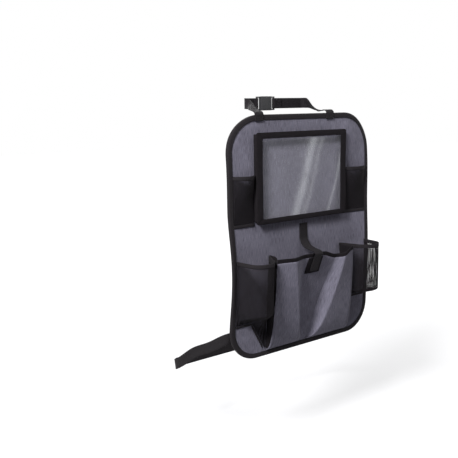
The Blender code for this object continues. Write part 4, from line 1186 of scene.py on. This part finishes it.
def frontLift(x, z, layers):
    up = (z - centre["bottom"]) / centreHeight
    return front + panel["seam"] + centre["thickness"] + centreDepth(x, up) + layers


def makePatch(name, width, top, bottom, under, material, node):
    def place(across, up):
        x = strap["frontX"] + (across - 0.5) * width
        z = mix(bottom, top, up)
        return onPanel(x, z, frontLift(x, z, under + strap["fastener"] / 2))

    patch = clothPiece(name, 24, 24, place, (width, top - bottom), strap["fastener"], material,
                       "touch_fastener", (node,))
    return place


def makeClosure():
    gap, layer = strap["patchGap"], strap["fastener"]
    loopTop = centre["top"] - centre["hem"] - strap["fastenerInset"]
    loop = makePatch("loopPatch", strap["loopWidth"], loopTop, loopTop - strap["loopHeight"], gap, loopPile,
                     "closure_loop_patch")
    hookUnder = gap + layer + gap
    makePatch("hookPatch", strap["width"] - 2 * strap["fastenerInset"], loopTop - strap["fastenerInset"],
              strap["end"] + strap["fastenerInset"], hookUnder, hookPile, "closure_hook_patch")
    strapUnder = hookUnder + layer + gap + strap["thickness"] / 2
    atPanel = front + panel["seam"] + strap["thickness"] / 2
    overTop = centre["top"] + 0.0045
    rim = frontLift(strap["frontX"], centre["top"], 0)
    closureX, frontX, root = strap["closureX"], strap["frontX"], strap["root"]
    points = [(closureX, root, atPanel, 0), (closureX, root - 0.022, atPanel, 0),
              (mix(closureX, frontX, 0.15), root - 0.040, atPanel + 0.003, 0),
              (mix(closureX, frontX, 0.5), centre["top"] + 0.011, atPanel + 0.017, 0),
              (mix(closureX, frontX, 0.8), overTop + 0.001, rim - 0.014, 0.5),
              (frontX, overTop, rim - 0.001, 1),
              (frontX, centre["top"] - 0.001, rim + strapUnder + 0.0010, 1)]
    for share in (0.0, 0.2, 0.4, 0.6, 0.8, 1.0):
        z = mix(centre["top"] - 0.008, strap["end"], share)
        points.append((frontX, z, frontLift(frontX, z, strapUnder), 1))
    dense = smoothRoute(points, 0.0025)

    def place(across, along):
        spot = along * (len(dense) - 1)
        index = min(int(spot), len(dense) - 2)
        centreX, z, lift, follow = (mix(a, b, spot - index) for a, b in zip(dense[index], dense[index + 1]))
        x = centreX + (across - 0.5) * strap["width"]
        up = min((z - centre["bottom"]) / centreHeight, 1.0)
        bend = centreDepth(x, up) - centreDepth(centreX, up)
        return onPanel(x, z, lift + follow * bend)

    length = sum(math.dist(a[1:3], b[1:3]) for a, b in zip(dense, dense[1:]))
    piece = clothPiece("closureStrap", strap["columns"], len(dense) - 1, place, (strap["width"], length),
                       strap["thickness"], webbingTape, "black_webbing", ("closure_strap",))
    # The root is sewn down with a box and its cross, the end with a line on three of its sides
    high, low = 0.004 / length, 0.020 / length
    tail, tailStart = 1 - 0.003 / length, 1 - 0.036 / length
    sewn = [(((0.1, high), (0.9, high), (0.9, low), (0.1, low), (0.1, high)), 6),
            (((0.1, high), (0.9, low)), 6), (((0.1, low), (0.9, high)), 6), (((0.1, tail), (0.9, tail)), 6),
            (((0.08, tailStart), (0.08, tail)), 12), (((0.92, tailStart), (0.92, tail)), 12)]
    runs = [sewnOn(place, lineRound(corners, steps), strap["stitchLift"]) for corners, steps in sewn]
    for corners in (((0.04, 0.03), (0.96, 0.03), (0.96, 0.97)), ((0.96, 0.97), (0.04, 0.97), (0.04, 0.03))):
        runs.append(sewnOn(loop, lineRound(corners, 10), strap["patchLift"]))
    stitchPiece("closureStitches", runs, "black_webbing")


makeClosure()
print("closure strap made")


# Top and bottom loops, each of two straps that a buckle joins
loop = dict(postX=0.0850, wrap=0.0115, lead=0.0120, leftX=-0.139, rightX=0.086, lap=0.013, buckleX=-0.044,
            lowZ=0.060, lowLap=0.020, depth=0.232, drop=-0.060, lowBuckleX=0.060, lapLength=0.024,
            spread=0.0010, parts=0.0085, over=0.0030, past=0.0010, bend=0.0009, ease=0.0002)
buckleCut = dict(socket=0.0265, tail=0.0115, tailThickness=0.0040, bar=0.0034, base=0.0080)


def lapRoundBar(barX, towards, y, z):
    # Webbing that comes in, goes round a buckle's bar and is sewn back on itself
    half = strap["thickness"] / 2
    over = buckleCut["tailThickness"] / 2 + half + panel["seam"]
    layer = half + loop["spread"] / 2
    turn = barX - towards * (buckleCut["bar"] / 2 + half + loop["bend"])
    side = [(barX + towards * loop["lapLength"], layer), (barX + towards * loop["lapLength"] * 0.6, layer),
            (barX + towards * loop["parts"], layer + loop["ease"]), (barX + towards * loop["over"], over),
            (barX - towards * loop["past"], over + loop["ease"]),
            (turn + towards * 3 * loop["ease"], over * 0.70)]
    route = [(x, y + lift, z, 0, 0, 1) for x, lift in side]
    route.append((turn, y, z, 0, 0, 1))
    return route + [(x, y - lift, z, 0, 0, 1) for x, lift in reversed(side)]


def ribbonPlace(points, step):
    # A strap surface from route points that also give the direction of its width
    dense = smoothRoute(points, step)
    length = sum(math.dist(a[:3], b[:3]) for a, b in zip(dense, dense[1:]))
    hang = Vector((0, -panel["hangY"], -panel["hangZ"]))

    def place(across, along):
        spot = min(max(along, 0.0), 1.0) * (len(dense) - 1)
        index = min(int(spot), len(dense) - 2)
        station = [mix(a, b, spot - index) for a, b in zip(dense[index], dense[index + 1])]
        wide = Vector(station[3:]).normalized()
        return Vector(station[:3]) + hang + wide * (across - 0.5) * strap["width"]

    return place, length, len(dense) - 1


def boxStitch(place, near, far, length):
    # A sewn box with its cross, between two distances along a strap, on both of its faces
    a, b = near / length, far / length
    corners = ((0.12, a), (0.88, a), (0.88, b), (0.12, b))
    runs = []
    for first, last in ((0, 1), (1, 2), (2, 3), (3, 0), (0, 2), (3, 1)):
        for face in (1, -1):
            run = []
            for across, along in line(corners[first], corners[last], 6):
                here = place(across, along)
                wide = place(min(across + 0.02, 1), along) - place(max(across - 0.02, 0), along)
                on = place(across, along + 0.002) - place(across, along - 0.002)
                out = wide.cross(on).normalized() * face
                run.append((here + out * strap["boxLift"], out))
            runs.append(run)
    return runs


def barPlaces(x):
    # The bars of a closed buckle's socket and plug
    tailBar = buckleCut["tail"] - buckleCut["bar"] / 2
    return x - tailBar, x + buckleCut["socket"] + buckleCut["base"] + tailBar


def makeStrap(name, node, points, step, boxes):
    place, length, count = ribbonPlace(points, step)

    def worn(across, along):
        # The tape is never quite straight: a slow wobble along it that changes a little across it
        slack = strap["slack"] * noise.noise(Vector((along * length / strap["slackSize"], across, 4.0)))
        point = place(across, along)
        wide = place(1, along) - place(0, along)
        on = place(across, min(along + 0.002, 1)) - place(across, max(along - 0.002, 0))
        return point + wide.cross(on).normalized() * slack

    piece = clothPiece(name, strap["columns"], count, worn, (strap["width"], length), strap["thickness"],
                       webbingTape, "black_webbing", (node,))
    runs = []
    for near, far in boxes:
        near, far = (value if value >= 0 else length + value for value in (near, far))
        runs += boxStitch(place, near, far, length)
    stitchPiece(name + "Stitches", runs, "black_webbing")


def makeTopStraps():
    ahead = front + binding["clear"] + binding["thickness"] + panel["seam"] + strap["thickness"] / 2
    clearTop = panel["height"] + binding["thickness"] + panel["seam"] + strap["thickness"]
    wrap = loop["postX"] + loop["wrap"]
    hangY, hangZ, height = panel["hangY"], panel["hangZ"], panel["height"]
    bars = barPlaces(loop["buckleX"])
    hang = Vector((0, -hangY, -hangZ))
    for name, node, side, rootX, bar, dip in (
            ("topStrapLeft", "top_strap_left", -1, loop["leftX"], bars[0], 0.0),
            ("topStrapRight", "top_strap_right", 1, loop["rightX"], bars[1], 0.006)):
        start = onPanel(rootX, height - loop["lap"], ahead) - hang
        edge = onPanel(rootX, height, ahead) - hang
        past = edge.y + 0.006
        reach = side * wrap
        points = [
            (*start, 1, 0, 0), (rootX, edge.y, height - 0.004, 1, 0, 0),
            (rootX, edge.y - 0.0002, height + 0.0012, 1, 0, 0),
            (mix(rootX, reach, 0.02), edge.y + 0.0026, clearTop + 0.0032, 1, 0, 0),
            (mix(rootX, reach, 0.06), past + 0.004, clearTop + 0.0060, 1, 0, 0),
            (mix(rootX, reach, 0.25), mix(past, hangY, 0.26), mix(clearTop, hangZ, 0.42) - dip, 1, 0.1, 0.1),
            (mix(rootX, reach, 0.60), mix(past, hangY, 0.52), mix(clearTop, hangZ, 0.70) - dip, 0.9, 0.25,
             side * -0.5),
            (mix(rootX, reach, 0.92), mix(past, hangY, 0.76), mix(clearTop, hangZ, 0.92), 0.45, 0.2,
             side * -0.9),
            (reach, mix(past, hangY, 0.90), hangZ, 0, 0, side * -1),
            (reach - side * 0.0045, hangY - 0.0015, hangZ, 0, 0, side * -1),
            (reach - side * loop["lead"], hangY, hangZ, 0, 0, side * -1)]
        lap = lapRoundBar(bar, side, hangY, hangZ)
        between = mix(reach - side * loop["lead"], lap[0][0], 0.5)
        points.append((between, hangY + loop["spread"] / 2, hangZ, 0, 0, side * -1))
        points += [(*point[:5], side * -1) for point in lap]
        makeStrap(name, node, points, 0.0022, ((0.002, 0.0105), (-0.016, -0.002)))


def makeBottomStraps():
    behind = back + binding["clear"] + binding["thickness"] + panel["seam"] + strap["thickness"] / 2
    bars = barPlaces(loop["lowBuckleX"])
    lowZ, drop, depth = loop["lowZ"], loop["drop"], loop["depth"]
    hang = Vector((0, -panel["hangY"], -panel["hangZ"]))
    for name, node, side, bar in (("bottomStrapLeft", "bottom_strap_left", -1, bars[0]),
                                  ("bottomStrapRight", "bottom_strap_right", 1, bars[1])):
        edge = halfWidth - cornerInset(lowZ)
        root = onPanel(side * (edge - loop["lowLap"]), lowZ, -behind) - hang
        near = onPanel(side * (edge - 0.006), lowZ, -behind) - hang
        rim = onPanel(side * (edge + 0.002), lowZ, -behind) - hang
        points = [
            (*root, 0, 0, 1), (*near, 0, 0, 1),
            (rim.x + side * 0.002, rim.y + 0.003, lowZ - 0.001, 0, 0, 1),
            (side * (edge + 0.008), 0.026, mix(lowZ, drop, 0.10), 0, 0.35, 1),
            (side * (edge + 0.012), 0.064, mix(lowZ, drop, 0.28), 0, 0.45, 1),
            (side * (edge + 0.016), 0.120, mix(lowZ, drop, 0.5), side * 0.1, 0.45, 1),
            (side * (edge + 0.018), 0.170, mix(lowZ, drop, 0.78), side * 0.3, 0.4, 1),
            (side * (edge + 0.014), 0.206, mix(lowZ, drop, 0.95), side * 0.1, 0.2, 1),
            (side * (edge - 0.006), depth - 0.003, drop, 0, 0, 1),
            (side * (edge - 0.050), depth, drop, 0, 0, 1)]
        lap = lapRoundBar(bar, side, depth, drop)
        middle = mix(points[-1][0], lap[0][0], 0.6)
        points.append((middle, depth + loop["spread"] / 2, drop, 0, 0, 1))
        makeStrap(name, node, points + lap, 0.0030, ((0.002, 0.017), (-0.016, -0.002)))


makeTopStraps()
makeBottomStraps()
print("straps made")


# Buckles keep their solids and get the moulded finish
for node in ("top_buckle_socket", "top_buckle_plug", "bottom_buckle_socket", "bottom_buckle_plug"):
    for slot in bpy.data.objects[node].material_slots:
        slot.material = mouldedBlack


# Floor, light and sky
studio = dict(
    floor=-0.86, floorSize=12, paper=(150, 150, 152), lift=0.62, fadeFrom=0.5, fadeOver=1.4, sky=0.10,
    skyTint=(0.93, 0.95, 1.0, 1.0), white=(1.0, 1.0, 1.0, 1.0))
lamps = dict(
    key=dict(place=(-2.30, -1.05, 1.50), aim=(0, -0.1, -0.3), size=0.7, power=188.0),
    fill=dict(place=(0.3, -0.95, 0.85), aim=(0, -0.1, -0.2), size=0.8, power=8.0),
    rim=dict(place=(0.6, 1.8, 1.2), aim=(0, 0, -0.3), size=1.4, power=32.0))


def seenRays(tree):
    # Rays by which the floor or the sky is seen: from the camera, let through or mirrored
    rays = tree.nodes.new("ShaderNodeLightPath")
    seen = mathNode(tree, "MAXIMUM", rays.outputs["Is Camera Ray"], rays.outputs["Is Transmission Ray"])
    return mathNode(tree, "MAXIMUM", seen, rays.outputs["Is Glossy Ray"])


def makeFloor():
    # White paper: to the camera it fades to pure white away from the object and keeps the object's shadow
    paper = bmesh.new()
    bmesh.ops.create_grid(paper, x_segments=1, y_segments=1, size=studio["floorSize"])
    bmesh.ops.translate(paper, verts=paper.verts, vec=(0, 0, studio["floor"]))
    mesh = bpy.data.meshes.new("floor")
    paper.to_mesh(mesh)
    paper.free()
    floor = bpy.data.objects.new("floor", mesh)
    bpy.context.scene.collection.objects.link(floor)
    material, tree, shader = startMaterial("paperFloor", 0.9)
    shader.inputs["Base Color"].default_value = screenColour(*studio["paper"])
    distance = tree.nodes.new("ShaderNodeVectorMath")
    distance.operation = "LENGTH"
    tree.links.new(objectMap(tree), distance.inputs[0])
    start = math.hypot(studio["floor"], studio["fadeFrom"])
    far = mathNode(tree, "MULTIPLY_ADD", distance.outputs["Value"], 1 / studio["fadeOver"],
                   -start / studio["fadeOver"], clamp=True)
    lifted = mathNode(tree, "MULTIPLY_ADD", far, 1 - studio["lift"], studio["lift"])
    glow = mathNode(tree, "MULTIPLY", lifted, seenRays(tree))
    shader.inputs["Emission Color"].default_value = studio["white"]
    tree.links.new(glow, shader.inputs["Emission Strength"])
    mesh.materials.append(material)


def areaLight(name, place, aim, size, power):
    data = bpy.data.lights.new(name, "AREA")
    data.shape = "DISK"
    data.size = size
    data.energy = power
    light = bpy.data.objects.new(name, data)
    bpy.context.scene.collection.objects.link(light)
    light.location = place
    light.rotation_euler = (Vector(aim) - Vector(place)).to_track_quat("-Z", "Y").to_euler()


def makeSky():
    world = bpy.data.worlds.new("sky")
    bpy.context.scene.world = world
    world.use_nodes = True
    tree = world.node_tree
    tree.nodes.clear()
    out = tree.nodes.new("ShaderNodeOutputWorld")
    blend = tree.nodes.new("ShaderNodeMixShader")
    tree.links.new(seenRays(tree), blend.inputs["Fac"])
    for index, (colour, strength) in enumerate(((studio["skyTint"], studio["sky"]), (studio["white"], 1.0))):
        light = tree.nodes.new("ShaderNodeBackground")
        light.inputs["Color"].default_value = colour
        light.inputs["Strength"].default_value = strength
        tree.links.new(light.outputs[0], blend.inputs[index + 1])
    tree.links.new(blend.outputs[0], out.inputs["Surface"])


makeFloor()
makeSky()
for name, lamp in lamps.items():
    areaLight(name, **lamp)
bpy.context.scene.view_settings.view_transform = "Standard"
print("stage and lights made")
